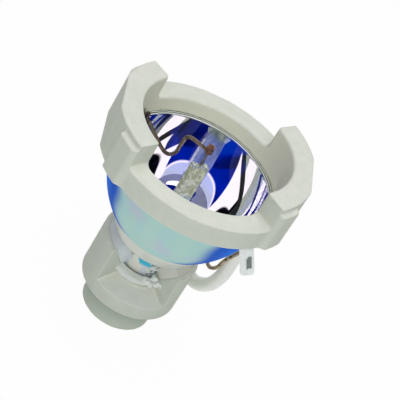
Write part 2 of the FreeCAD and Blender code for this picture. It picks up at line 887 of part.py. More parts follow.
def beside(low, unit, gap, angle, share):
    """Point at a gap outside the holder or the glass, whichever is wider at its height. The gap
    counts in units of a lead's radius."""
    height = low + share * (size("ring_back") - low)
    return around(max(size("holder_radius"), glass_radius_at(height)) + gap * unit,
                  angle, height)


def lead_end(side):
    """Point under a terminal's foot where a lead is welded, beside the rivet's head."""
    radius = size("foot_start") + 0.5 * size("foot_length")
    angle = side * (size("terminal_turn") - size("lead_end_offset"))
    return around(radius, angle, size("ring_back") - size("terminal_thickness"))


def make_front_lead():
    points = front_lead_points()
    path, radii = bent_path(points)
    radius = size("strand_radius")
    solid = tube(path, radius)
    report_route("front_lead", path, radii, solid, math.pi * radius ** 2)
    return keep(feature("front_lead", solid), "front_lead")


def make_lead_tail():
    turn = size("notch_angle")
    rim = size("rim_front")
    strand = size("strand_radius")
    seat = size("seat_radius")
    over_rim = point_over_rim()
    last = front_lead_points()[-1]
    onwards = over_rim - last
    onwards.normalize()
    points = [last + onwards * 0.6 * strand, over_rim,
              around(seat + 0.8 * strand, turn, rim + 1.25 * strand),
              around(seat + 0.85 * strand, turn, rim - 5.6 * strand)]
    points += [beside(size("holder_top"), strand, *place) for place in LEAD_TAIL_ROUTE]
    end = lead_end(-1)
    points += [end + vector(0, 0, -5.2 * strand), end]
    path, radii = bent_path(points)
    solid = tube(path, strand)
    report_route("front_lead_tail", path, radii, solid, math.pi * strand ** 2)
    return keep(feature("front_lead_tail", solid), "front_lead_tail")


def make_rear_lead():
    """Insulated rear lead: a round core in a thick white sleeve, and the crimp on the rear pin."""
    turn = size("channel_turn")
    level = size("lead_height")
    core_radius = size("core_radius")
    sleeve_radius = size("sleeve_radius")
    start = around(1.6 * size("pin_radius"), turn, level)
    end = lead_end(1)
    route = [beside(level, sleeve_radius, *place) for place in REAR_LEAD_ROUTE]
    tail = [end + vector(0, 0, -size("lead_drop")), end]
    path, radii = bent_path([start] + route + tail)
    core = tube(path, core_radius)
    report_route("rear_lead_core", path, radii, core, math.pi * core_radius ** 2)
    sleeve_path = sleeved_part(path, size("crimp_length") - 0.1, size("sleeve_skip"))
    sleeve = tube(sleeve_path, sleeve_radius, core_radius)
    section = math.pi * (sleeve_radius ** 2 - core_radius ** 2)
    report_route("rear_lead_sleeve", sleeve_path, radii, sleeve, section)
    keep(feature("rear_lead_core", core), "rear_lead_core")
    keep(feature("rear_lead_sleeve", sleeve), "rear_lead_sleeve")
    radius = size("crimp_radius")
    heading = around(1.0, turn)
    low = around(-0.35 * size("crimp_length"), turn, level)
    crimp = Part.makeCylinder(radius, size("crimp_length"), low, heading)
    rims = [edge for edge in crimp.Edges if isinstance(edge.Curve, Part.Circle)]
    crimp = crimp.makeFillet(0.25 * radius, rims)
    crimp = crimp.cut(pin_form(False)).cut(core)
    keep(feature("rear_crimp", crimp), "rear_crimp")


def sleeved_part(path, skip_start, skip_end):
    """The path without a length at its start and a length at its end."""
    edges = list(path.Edges)
    edges[0] = shortened(edges[0], skip_start, True)
    left = skip_end
    while edges[-1].Length <= left:
        left -= edges[-1].Length
        edges.pop()
    edges[-1] = shortened(edges[-1], left, False)
    return Part.Wire(edges)


def shortened(edge, length, at_start):
    """An edge without a length at its start or its end, seen along the path."""
    span = edge.LastParameter - edge.FirstParameter
    cut = span * length / edge.Length
    if at_start:
        return Part.Edge(edge.Curve, edge.FirstParameter + cut, edge.LastParameter)
    return Part.Edge(edge.Curve, edge.FirstParameter, edge.LastParameter - cut)


def make_weld_sleeve():
    """Metal sleeve that joins the front pin and the end of the front lead."""
    pin_end = size("front_pin_end")
    radius = size("weld_radius")
    low = pin_end - 1.9
    sleeve = Part.makeCylinder(radius, size("weld_length"), vector(0, 0, low))
    rims = [edge for edge in sleeve.Edges if edge.BoundBox.ZLength < 1e-6]
    sleeve = sleeve.makeFillet(0.3 * radius, rims)
    sleeve = sleeve.cut(pin_form(True))
    start, following = front_lead_points()[:2]
    socket = Part.makeCylinder(size("strand_radius"), 4.0, start, following - start)
    return keep(feature("weld_sleeve", sleeve.cut(socket)), "weld_sleeve")


def make_rim_clip():
    """Upright crimp inside the mirror's mouth, closed round the lead, with a foot on the rim."""
    radius = size("clip_radius")
    rim = size("rim_front")
    turn = size("notch_angle")
    centre = size("mirror_radius") - size("clip_inset")
    low = vector(centre, 0, rim - size("clip_drop"))
    crimp = Part.makeCylinder(radius, size("clip_length"), low)
    ends = [edge for edge in crimp.Edges if edge.BoundBox.ZLength < 1e-6]
    crimp = crimp.makeFillet(0.3 * radius, ends)
    reach = size("ring_bore") - 0.1 - centre
    foot = Part.makeBox(reach, 1.6 * radius, size("clip_foot"), vector(centre, -0.8 * radius, rim))
    clip = crimp.fuse(foot).removeSplitter()
    clip.rotate(vector(0, 0, 0), vector(0, 0, 1), turn)
    before, last = front_lead_points()[-2:]
    strand = size("strand_radius")
    for place in (before, point_over_rim()):
        heading = place - last
        clip = clip.cut(Part.makeCylinder(strand, heading.Length, last, heading))
    return keep(feature("rim_clip", clip), "rim_clip")


# Terminals and their rivets


def make_terminal(side, name):
    """Bent tab under the ring, with a recess in its outer face and a rivet through its foot."""
    back = size("ring_back")
    thick = size("terminal_thickness")
    width = size("terminal_width")
    bend = math.radians(size("terminal_bend"))
    inner = size("terminal_bend_radius")
    foot_end = size("foot_start") + size("foot_length")
    length = size("terminal_length")
    centre = vector(foot_end, 0, back - thick - inner)
    out = vector(math.sin(bend), 0, math.cos(bend))
    half_out = vector(math.sin(0.5 * bend), 0, math.cos(0.5 * bend))
    along = vector(math.cos(bend), 0, -math.sin(bend))
    outer_start = centre + out * (inner + thick)
    inner_start = centre + out * inner
    edges = [
        Part.makeLine(vector(size("foot_start"), 0, back), vector(foot_end, 0, back)),
        Part.Arc(vector(foot_end, 0, back), centre + half_out * (inner + thick),
                 outer_start).toShape(),
        Part.makeLine(outer_start, outer_start + along * length),
        Part.makeLine(outer_start + along * length, inner_start + along * length),
        Part.makeLine(inner_start + along * length, inner_start),
        Part.Arc(inner_start, centre + half_out * inner,
                 vector(foot_end, 0, back - thick)).toShape(),
        Part.makeLine(vector(foot_end, 0, back - thick), vector(size("foot_start"), 0, back - thick)),
        Part.makeLine(vector(size("foot_start"), 0, back - thick), vector(size("foot_start"), 0, back)),
    ]
    face = Part.Face(Part.Wire(edges))
    tab = face.extrude(vector(0, width, 0))
    tab.translate(vector(0, -0.5 * width, 0))
    tip = outer_start + along * length
    corners = [edge for edge in tab.Edges
               if abs(edge.Length - thick) < 1e-4 and abs(edge.CenterOfMass.z - tip.z) < thick
               and abs(edge.CenterOfMass.x - tip.x) < thick]
    tab = tab.makeChamfer(size("terminal_tip_chamfer"), corners)
    slot = Part.makeBox(size("terminal_slot_length"), size("terminal_slot_width"), 2.0,
                        vector(size("terminal_slot_start"),
                               side * size("terminal_slot_offset") - 0.5 * size("terminal_slot_width"),
                               -size("terminal_slot_depth")))
    slot.rotate(vector(0, 0, 0), vector(0, 1, 0), size("terminal_bend"))
    slot.translate(outer_start)
    tab = tab.cut(slot)
    rivet_place = size("foot_start") + 0.5 * size("foot_length")
    head_low = back - thick - size("rivet_head_height")
    shank = Part.makeCylinder(size("rivet_radius"), thick + size("rivet_depth") + 0.1,
                              vector(rivet_place, 0, back - thick - 0.1))
    head = Part.makeCylinder(size("rivet_head_radius"), size("rivet_head_height"),
                             vector(rivet_place, 0, head_low))
    low_rim = [edge for edge in head.Edges if abs(edge.CenterOfMass.z - head_low) < 1e-6
               and edge.BoundBox.ZLength < 1e-6]
    head = head.makeFillet(0.6 * size("rivet_head_height"), low_rim)
    rivet = shank.fuse(head).removeSplitter()
    tab = tab.cut(shank)
    for shape in (tab, rivet):
        shape.rotate(vector(0, 0, 0), vector(0, 0, 1), side * size("terminal_turn"))
    keep(feature(name + "_terminal", tab), name + "_terminal")
    keep(feature(name + "_rivet", rivet), name + "_rivet")


def build_parts():
    make_front_ring()
    reflector = make_reflector()
    make_base_holder()
    make_neck_cement(reflector)
    make_ring_cement()
    make_seal_plug()
    make_arc_tube()
    make_burner_metal()
    make_front_lead()
    make_lead_tail()
    make_weld_sleeve()
    make_rim_clip()
    make_rear_lead()
    make_terminal(-1, "near")
    make_terminal(1, "far")


def check_and_write():
    doc.recompute()
    for item in doc.Objects:
        if "Invalid" in item.State or "Error" in item.State:
            raise RuntimeError("%s failed: %s" % (item.Name, item.State))
    os.makedirs("parts", exist_ok=True)
    for piece in PARTS:
        shape = piece.Shape
        if shape.isNull() or not shape.isValid():
            raise RuntimeError(piece.Label + " has no valid shape")
        print("%-20s solids %d  volume %.1f" % (piece.Label, len(shape.Solids), shape.Volume))
        shape.exportStep("parts/%s.step" % piece.Label)


build_parts()
check_and_write()
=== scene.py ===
"""Looks of the reflector lamp: finishes for its solids, and finer pieces for the plainest."""

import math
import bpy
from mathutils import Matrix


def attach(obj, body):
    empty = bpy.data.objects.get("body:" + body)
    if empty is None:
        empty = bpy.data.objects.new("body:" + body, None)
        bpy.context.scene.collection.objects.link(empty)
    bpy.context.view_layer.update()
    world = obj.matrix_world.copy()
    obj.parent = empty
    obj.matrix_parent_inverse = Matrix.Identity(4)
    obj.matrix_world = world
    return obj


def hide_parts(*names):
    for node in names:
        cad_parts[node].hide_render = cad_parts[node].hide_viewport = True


bl_info = {
    "name": "Metal halide reflector lamp",
    "version": (1, 0, 0),
    "blender": (4, 5, 0),
    "location": "3D View > Sidebar > Reflector lamp",
    "description": "Dresses a ceramic ringed reflector lamp and sets its stage",
    "category": "Add Mesh",
}

import bmesh
import bpy
import numpy as np
from bpy.props import FloatProperty, FloatVectorProperty, IntProperty, PointerProperty
from mathutils import Matrix, Vector

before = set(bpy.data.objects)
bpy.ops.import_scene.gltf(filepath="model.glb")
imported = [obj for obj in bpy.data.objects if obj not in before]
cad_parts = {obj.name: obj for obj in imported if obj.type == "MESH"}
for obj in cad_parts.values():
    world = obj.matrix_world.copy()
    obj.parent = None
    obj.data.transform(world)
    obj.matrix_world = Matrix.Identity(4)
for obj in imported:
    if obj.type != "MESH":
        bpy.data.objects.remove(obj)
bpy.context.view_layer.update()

# Degrees in a radian, for the angles in materials and surroundings

DEGREES = 57.2958

# Routes of the leads, in millimetres: radius, angle and height about the optical axis

FRONT_LEAD = [(0.55, 149.0, 69.2), (4.0, 149.0, 68.85), (8.4, 149.0, 68.5), (8.75, 149.0, 64.7),
              (8.55, 149.0, 60.7), (10.6, 149.0, 58.05), (13.4, 149.0, 58.3), (18.0, 149.0, 60.7),
              (21.4, 149.0, 62.75), (22.7, 149.0, 63.35)]

LEAD_TAIL = [(23.05, 149.0, 63.33), (25.18, 149.0, 63.25), (27.96, 149.0, 63.08),
             (27.99, 149.0, 59.1), (29.6, 120.0, 56.89), (28.0, 90.0, 48.89), (25.5, 60.0, 39.91),
             (21.95, 34.0, 30.5), (20.55, 14.0, 25.11), (21.55, -2.0, 30.08),
             (21.6, -14.0, 38.11), (24.2, -22.0, 45.91), (27.5, -31.0, 53.9),
             (29.35, -48.2, 57.08), (29.35, -48.2, 60.1)]

# Bright panels that polished parts show first: two azimuths and two elevations in degrees

PANELS = ((-88.0, -27.0, 29.0, 37.5), (-180.0, -131.0, 29.5, 35.3), (167.0, 180.0, 29.5, 35.3),
          (-27.0, 60.0, 30.6, 31.4), (105.0, 167.0, 30.6, 31.4))

# Painted dark reflections on the mirror: angle, height in millimetres, half sizes of both, and how
# much lower the patch runs per degree

PATCH_LEAN = 0.346
PAINTED_DARK_REFLECTIONS = ((95.0, 57.0, 11.5, 5.0, 0.0), (58.0, 55.0, 10.0, 2.5, PATCH_LEAN),
                  (120.5, 46.5, 6.5, 4.3, 0.0), (126.0, 57.0, 8.0, 3.0, 0.0))

# Middles of the mirror's painted dark sectors, and of its one painted brighter gleam, in degrees

DARK_SECTORS = (11.0, 146.0)
GLEAM_ANGLE = 60.0

# Panels shown after three reflections and after more: azimuths, elevations and brightness

BAND = (27.0, 42.0)
WHITE_PANEL, DIM_PANEL = (5.6, 5.2, 5.6), (1.0, 1.1, 0.9)
THIRD_PANELS = ((-98.0, -70.0, *BAND, WHITE_PANEL), (-70.0, 0.0, *BAND, (1.9, 2.05, 1.7)),
                (0.0, 58.0, *BAND, WHITE_PANEL), (58.0, 88.0, *BAND, (1.7, 1.9, 1.7)),
                (88.0, 150.0, *BAND, WHITE_PANEL), (150.0, 180.0, *BAND, DIM_PANEL),
                (-180.0, -150.0, *BAND, DIM_PANEL))
LATER_PANELS = ((-62.0, 0.0, *BAND, (10.0, 9.3, 10.0)), (0.0, 35.0, *BAND, (3.6, 3.9, 3.2)),
                (120.0, 180.0, *BAND, (3.0, 3.3, 2.8)))

# Shoulder of the outside glass under the ellipse: radius and height in millimetres

SHOULDER = ((7.5, 28.4), (8.6, 31.1), (12.4, 30.9), (14.3, 32.7), (16.38, 37.0))

# Loose strands at the clip: radius, angle and height of their start, bend and end

LOOSE_STRANDS = (((22.6, 149.0, 61.4), (23.0, 146.0, 63.2), (23.9, 147.0, 64.7)),
                 ((22.6, 149.0, 61.6), (23.4, 151.0, 63.4), (24.1, 150.0, 65.6)),
                 ((22.5, 148.0, 61.4), (22.4, 144.0, 62.6), (23.2, 143.0, 64.0)),
                 ((22.7, 150.0, 61.4), (23.9, 154.0, 62.8), (23.7, 155.0, 64.2)),
                 ((22.6, 149.0, 61.8), (23.6, 148.0, 64.0), (24.1, 152.0, 66.2)),
                 ((22.6, 150.0, 61.5), (22.9, 155.0, 62.2), (22.6, 158.0, 63.3)),
                 ((22.4, 149.0, 61.2), (21.2, 150.0, 61.0), (20.6, 152.0, 60.2)))

# Lumps round the foot of the neck: radius, angle, height and half size

NECK_LUMPS = ((8.6, -76.0, 21.2, 1.1), (9.2, -66.0, 20.6, 1.3), (8.8, -57.0, 22.2, 1.2),
              (9.8, -50.0, 20.6, 1.4), (10.4, -38.0, 20.9, 2.0), (9.2, -30.0, 23.0, 1.4),
              (10.8, -22.0, 21.2, 2.1), (10.2, -6.0, 21.0, 2.0), (9.6, -62.0, 19.4, 0.9))

# Band of cement round the foot of the neck: radius, height, thickness and the angles it spans

FOOT_BAND = (9.3, 20.1, 1.15, -176.0, -68.0)


# Sizes and colours


def length(name, description, value, low=0.0):
    """A length in metres."""
    return FloatProperty(name=name, description=description, default=value, min=low,
                         subtype="DISTANCE", unit="LENGTH", precision=5)


def colour(name, description, value):
    """A linear colour."""
    return FloatVectorProperty(name=name, description=description, default=value, size=3,
                               min=0.0, max=1.0, subtype="COLOR")


class LampSizes(bpy.types.PropertyGroup):
    """Sizes of the finer pieces"""
    mirror_radius: length("Mirror radius", "Widest radius of the polished inside", 0.0234)
    mirror_half: length("Mirror half length", "Half the long axis of the inside", 0.0305)
    mirror_centre: length("Mirror centre", "Height of the middle of the inside ellipsoid", 0.0619)
    glass_radius: length("Glass radius", "Widest radius of the outside", 0.0271)
    glass_half: length("Glass half length", "Half the long axis of the outside", 0.0339)
    glass_centre: length("Glass centre", "Height of the middle of the outside ellipsoid", 0.0642)
    rim_height: length("Rim height", "Height of the glass rim", 0.06235)
    rim_round: length("Rim rounding", "Radius of the fire polished rim", 0.0005)
    neck_radius: length("Neck radius", "Outside radius of the glass neck", 0.0075)
    neck_wall: length("Neck wall", "Wall of the glass neck", 0.0019)
    shoulder_top: length("Shoulder top", "Height where the shoulder joins the ellipse", 0.0392)
    neck_end: length("Neck end", "Height of the end of the glass neck", 0.0189)
    strand_rope: length("Lead radius", "Radius of the twisted lead", 0.00064)
    strand_pitch: length("Twist pitch", "Length of one turn of the strands", 0.0031)
    strand_count: IntProperty(name="Strands", description="Outer strands of the lead",
                              default=6, min=3, max=12)


class LampColours(bpy.types.PropertyGroup):
    """Main tones of the finishes"""
    ceramic_pale: colour("Pale ceramic", "Fired ceramic", (0.86, 0.865, 0.80))
    ceramic_shade: colour("Shaded ceramic", "Darker tone of the fired ceramic", (0.70, 0.74, 0.66))
    cement: colour("Cement", "Dry cement", (0.82, 0.80, 0.72))
    glass_pale: colour("Pale glass", "Coated glass seen square on", (0.50, 0.76, 0.76))
    glass_violet: colour("Violet glass", "Faint second tone of the coating", (0.60, 0.66, 0.78))
    glass_blue: colour("Blue glass", "Coated glass seen along its surface", (0.012, 0.20, 1.0))
    glass_clear: colour("Uncoated glass", "Glass below the coating", (0.80, 0.82, 0.76))
    mirror_blue: colour("Mirror blue", "Light that the coating lets through", (0.0, 0.035, 1.0))
    lead_brown: colour("Brown lead", "Oxidised copper strands", (0.46, 0.37, 0.27))
    weld_copper: colour("Copper weld", "Bright copper of the weld", (0.62, 0.30, 0.16))
    tin: colour("Tin plate", "Plated steel of the terminals", (0.93, 0.96, 0.97))
    white_sleeve: colour("White sleeve", "Sleeve of the rear lead", (0.95, 0.96, 0.93))


class StageSettings(bpy.types.PropertyGroup):
    """Camera, floor and light"""
    camera_place: FloatVectorProperty(name="Camera place", description="Where the camera stands",
                                      default=(-0.09006, -0.38909, 0.33611), size=3,
                                      subtype="TRANSLATION", unit="LENGTH", precision=5)
    focal_length: FloatProperty(name="Focal length", description="Lens of the camera, millimetres",
                                default=145.75, min=10.0, subtype="DISTANCE_CAMERA")
    floor_size: length("Floor size", "Edge of the floor", 4.0)
    fill_level: FloatProperty(name="Fill level", description="Light from all round",
                              default=0.80, min=0.0)
    lamp_level: FloatProperty(name="Lamp level", description="Brightness of the softboxes",
                              default=0.9, min=0.0)


# Surfaces on parametric grids


def on_circle(route):
    """Route points from radius, angle and height in millimetres to places in metres."""
    table = np.asarray(route, float)
    radius, turn = table[:, 0], np.radians(table[:, 1])
    return 0.001 * np.column_stack([radius * np.cos(turn), radius * np.sin(turn), table[:, 2]])


def smooth_line(points, spacing=0.0002):
    """Quadratic B-spline with clamped ends through the middles of a route's runs.
    Each run's middle and the corner after it give one parabola, (1-t)^2 A + 2t(1-t) B + t^2 C,
    and the line is then respaced at equal steps of its length."""
    points = np.asarray(points, float)
    middle = 0.5 * (points[:-1] + points[1:])
    begin = np.vstack([points[:1], middle[1:-1]])
    end = np.vstack([middle[1:-1], points[-1:]])
    t = np.linspace(0.0, 1.0, 60)[None, :, None]
    arcs = ((1 - t) ** 2 * begin[:, None] + 2 * t * (1 - t) * points[1:-1][:, None]
            + t ** 2 * end[:, None])
    line = arcs.reshape(-1, points.shape[1])
    keep = np.concatenate([[True], np.linalg.norm(np.diff(line, axis=0), axis=1) > 1e-9])
    line = line[keep]
    travel = np.concatenate([[0.0], np.cumsum(np.linalg.norm(np.diff(line, axis=0), axis=1))])
    steps = np.linspace(0.0, travel[-1], max(8, int(travel[-1] / spacing)))
    columns = [np.interp(steps, travel, line[:, axis]) for axis in range(points.shape[1])]
    return np.column_stack(columns), steps


def unit(rows):
    """Rows scaled to length one."""
    return rows / np.linalg.norm(rows, axis=-1, keepdims=True)


def frames_along(line):
    """Two directions square to a line, all along it. The first comes from one fixed direction, the
    one out of a spread on the sphere that stays furthest from every tangent."""
    tangent = unit(np.gradient(line, axis=0))
    turn = np.arange(200) * math.pi * (3 - math.sqrt(5))
    level = np.linspace(0.995, 0.0, 200)
    spread = np.column_stack([np.sqrt(1 - level ** 2) * np.cos(turn),
                              np.sqrt(1 - level ** 2) * np.sin(turn), level])
    best = spread[np.argmin(np.abs(tangent @ spread.T).max(axis=0))]
    side = unit(best - (tangent @ best)[:, None] * tangent)
    return side, np.cross(tangent, side)


def tube_grid(line, radius, sides):
    """Circle carried along a line: P(s) + r(s) (cos a N + sin a B)."""
    side, up = frames_along(line)
    turn = np.arange(sides) * 2 * math.pi / sides
    radius = np.broadcast_to(np.asarray(radius, float), (len(line),))
    ring = np.cos(turn)[None, :, None] * side[:, None] + np.sin(turn)[None, :, None] * up[:, None]
    return line[:, None] + radius[:, None, None] * ring


def lathe_grid(profile, steps):
    """Profile of radius and height turned about the optical axis: (r cos a, r sin a, z)."""
    profile = np.asarray(profile, float)
    turn = np.arange(steps) * 2 * math.pi / steps
    return np.stack([profile[:, :1] * np.cos(turn), profile[:, :1] * np.sin(turn),
                     np.broadcast_to(profile[:, 1:], (len(profile), steps))], axis=-1)


def grid_faces(rows, columns, loop_rows=False, start=0):
    """Quads of a grid whose columns close round it, and whose rows may close too."""
    last = rows if loop_rows else rows - 1
    i, j = np.meshgrid(np.arange(last), np.arange(columns), indexing="ij")
    a = i * columns + j
    b = i * columns + (j + 1) % columns
    c = ((i + 1) % rows) * columns + (j + 1) % columns
    d = ((i + 1) % rows) * columns + j
    return start + np.stack([a, b, c, d], axis=-1).reshape(-1, 4)


def solid_from_grids(name, grids, loop_rows=False):
    """One mesh from grids with closed columns. Open ends get a pole at their middle, and each grid
    is turned the right way by the sign of its volume, a sixth of the sum of a . (b x c)."""
    places, faces = [], []
    start = 0
    for grid in grids:
        rows, columns = grid.shape[:2]
        flat = grid.reshape(-1, 3)
        quads = grid_faces(rows, columns, loop_rows)
        parts = [quads[:, [0, 1, 2]], quads[:, [0, 2, 3]]]
        if not loop_rows:
            j = np.arange(columns)
            following = (j + 1) % columns
            poles = np.vstack([grid[0].mean(axis=0), grid[-1].mean(axis=0)])
            flat = np.vstack([flat, poles])
            first, last = rows * columns, rows * columns + 1
            caps = [np.stack([following, j, np.full(columns, first)], axis=-1),
                    np.stack([j + (rows - 1) * columns, following + (rows - 1) * columns,
                              np.full(columns, last)], axis=-1)]
            parts += caps
        triangles = np.vstack(parts)
        volume = np.einsum("ij,ij->i", flat[triangles[:, 0]],
                           np.cross(flat[triangles[:, 1]], flat[triangles[:, 2]])).sum()
        inside_out = volume < 0
        listed = [quads] + (caps if not loop_rows else [])
        for block in listed:
            block = block[:, ::-1] if inside_out else block
            faces += (block + start).tolist()
        places.append(flat)
        start += len(flat)
    mesh = bpy.data.meshes.new(name)
    mesh.from_pydata(np.vstack(places).tolist(), [], faces)
    mesh.polygons.foreach_set("use_smooth", [True] * len(mesh.polygons))
    mesh.update()
    piece = bpy.data.objects.new(name, mesh)
    bpy.context.scene.collection.objects.link(piece)
    return piece


def dressed(piece, material, slot_name, *nodes):
    """Puts a new piece on the model in place of the solids that it stands for."""
    piece.data.materials.append(material)
    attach(piece, "root")
    if nodes:
        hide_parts(*nodes)
    return piece


def coat_node(material, *names):
    """Gives solids their finish."""
    for name in names:
        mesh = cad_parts[name].data
        mesh.materials.clear()
        mesh.materials.append(material)


# Materials


class Board:
    """A node tree with short ways to place and link its nodes."""

    def __init__(self, tree):
        self.tree = tree

    def add(self, kind, settings=None, **values):
        node = self.tree.nodes.new("ShaderNode" + kind)
        for key, value in (settings or {}).items():
            setattr(node, key, value)
        for key, value in values.items():
            self.put(node, key.replace("_", " "), value)
        return node

    def put(self, node, socket, value):
        target = node.inputs[socket]
        if isinstance(value, bpy.types.NodeSocket):
            self.tree.links.new(value, target)
        elif isinstance(value, tuple) and len(value) == 3 and target.type == "RGBA":
            target.default_value = (*value, 1.0)
        else:
            target.default_value = value

    def maths(self, operation, *values):
        node = self.tree.nodes.new("ShaderNodeMath")
        node.operation = operation
        for position, value in enumerate(values):
            if isinstance(value, bpy.types.NodeSocket):
                self.tree.links.new(value, node.inputs[position])
            else:
                node.inputs[position].default_value = value
        return node.outputs[0]

    def blend(self, share, first, second):
        node = self.tree.nodes.new("ShaderNodeMix")
        node.data_type = "RGBA"
        for socket, value in ((node.inputs[0], share), (node.inputs[6], first),
                              (node.inputs[7], second)):
            if isinstance(value, bpy.types.NodeSocket):
                self.tree.links.new(value, socket)
            elif socket.type == "RGBA":
                socket.default_value = (*value[:3], 1.0)
            else:
                socket.default_value = value
        return node.outputs[2]

    def span(self, value, low, high, start=0.0, end=1.0):
        """Value from low to high, spread over start to end and held outside."""
        node = self.tree.nodes.new("ShaderNodeMapRange")
        node.interpolation_type = "SMOOTHSTEP"
        self.tree.links.new(value, node.inputs[0])
        for position, number in enumerate((low, high, start, end), start=1):
            if isinstance(number, bpy.types.NodeSocket):
                self.tree.links.new(number, node.inputs[position])
            else:
                node.inputs[position].default_value = number
        return node.outputs[0]


def effect(name, inputs, outputs, build):
    """A shared node group, made once. build links its inputs to its outputs."""
    tree = bpy.data.node_groups.get(name)
    if tree is None:
        tree = bpy.data.node_groups.new(name, "ShaderNodeTree")
        for label, kind, value in inputs:
            socket = tree.interface.new_socket(name=label, in_out="INPUT", socket_type=kind)
            if value is not None:
                socket.default_value = value
        for label, kind in outputs:
            tree.interface.new_socket(name=label, in_out="OUTPUT", socket_type=kind)
        board = Board(tree)
        entry = tree.nodes.new("NodeGroupInput")
        leave = tree.nodes.new("NodeGroupOutput")
        made = build(board, entry.outputs)
        for label, _ in outputs:
            tree.links.new(made[label], leave.inputs[label])
    return tree


def place_effect(board, tree, **values):
    """Puts a shared node group on a board and gives its outputs."""
    node = board.tree.nodes.new("ShaderNodeGroup")
    node.node_tree = tree
    for key, value in values.items():
        board.put(node, key.replace("_", " "), value)
    return node.outputs


def fired_grain():
    """Fine pitted grain of a pressed and fired surface, with a few dark specks."""
    def build(board, given):
        fine = board.add("TexNoise", Vector=given["Vector"], Scale=given["Scale"], Detail=3.0)
        coarse = board.add("TexNoise", Vector=given["Vector"],
                           Scale=board.maths("MULTIPLY", given["Scale"], 0.13), Detail=2.0)
        pits = board.add("TexVoronoi", Vector=given["Vector"],
                         Scale=board.maths("MULTIPLY", given["Scale"], 0.55))
        pit = board.span(pits.outputs["Distance"], 0.0, 0.35)
        height = board.maths("MULTIPLY_ADD", pit, 0.35, fine.outputs[0])
        speck = board.add("TexVoronoi", Vector=given["Vector"],
                          Scale=board.maths("MULTIPLY", given["Scale"], 0.22))
        specks = board.span(speck.outputs["Distance"], 0.09, 0.03)
        return {"Height": height, "Tone": board.span(coarse.outputs[0], 0.3, 0.7),
                "Specks": specks}
    return effect("fired_grain", [("Vector", "NodeSocketVector", None),
                                  ("Scale", "NodeSocketFloat", 2500.0)],
                  [("Height", "NodeSocketFloat"), ("Tone", "NodeSocketFloat"),
                   ("Specks", "NodeSocketFloat")], build)


def soft_clouds():
    """Slow change of tone over a surface, for stains, haze and thin coatings."""
    def build(board, given):
        noise = board.add("TexNoise", Vector=given["Vector"], Scale=given["Scale"], Detail=2.0,
                          Roughness=0.4)
        return {"Mask": board.span(noise.outputs[0], given["Low"], given["High"])}
    return effect("soft_clouds", [("Vector", "NodeSocketVector", None),
                                  ("Scale", "NodeSocketFloat", 60.0),
                                  ("Low", "NodeSocketFloat", 0.35),
                                  ("High", "NodeSocketFloat", 0.65)],
                  [("Mask", "NodeSocketFloat")], build)


def drawn_metal():
    """Fine lines left by rolling and drawing, stretched along one direction."""
    def build(board, given):
        stretched = board.add("VectorMath", {"operation": "MULTIPLY"})
        board.tree.links.new(given["Vector"], stretched.inputs[0])
        board.tree.links.new(given["Stretch"], stretched.inputs[1])
        lines = board.add("TexNoise", Vector=stretched.outputs[0], Scale=1.0, Detail=4.0)
        tarnish = board.add("TexNoise", Vector=given["Vector"], Scale=700.0, Detail=3.0)
        return {"Height": lines.outputs[0], "Tarnish": board.span(tarnish.outputs[0], 0.45, 0.7)}
    return effect("drawn_metal", [("Vector", "NodeSocketVector", None),
                                  ("Stretch", "NodeSocketVector", (4000.0, 4000.0, 300.0))],
                  [("Height", "NodeSocketFloat"), ("Tarnish", "NodeSocketFloat")], build)


def new_material(name):
    """An empty material: its board, its Principled shader and its object coordinates."""
    material = bpy.data.materials.new(name)
    material.use_nodes = True
    material.node_tree.nodes.clear()
    board = Board(material.node_tree)
    shader = board.add("BsdfPrincipled")
    output = board.add("OutputMaterial")
    material.node_tree.links.new(shader.outputs[0], output.inputs[0])
    place = board.add("TexCoord").outputs["Object"]
    return material, board, shader, place


def relief(board, shader, height, depth, strength=1.0):
    """Bump from a height mask, with its depth in metres."""
    bump = board.add("Bump", Strength=strength, Distance=depth, Height=height)
    board.put(shader, "Normal", bump.outputs[0])


def from_axis(board, parts):
    """Distance from the optical axis in metres, from the parts of a place."""
    squares = [board.maths("MULTIPLY", parts[axis], parts[axis]) for axis in "XY"]
    return board.maths("POWER", board.maths("ADD", *squares), 0.5)


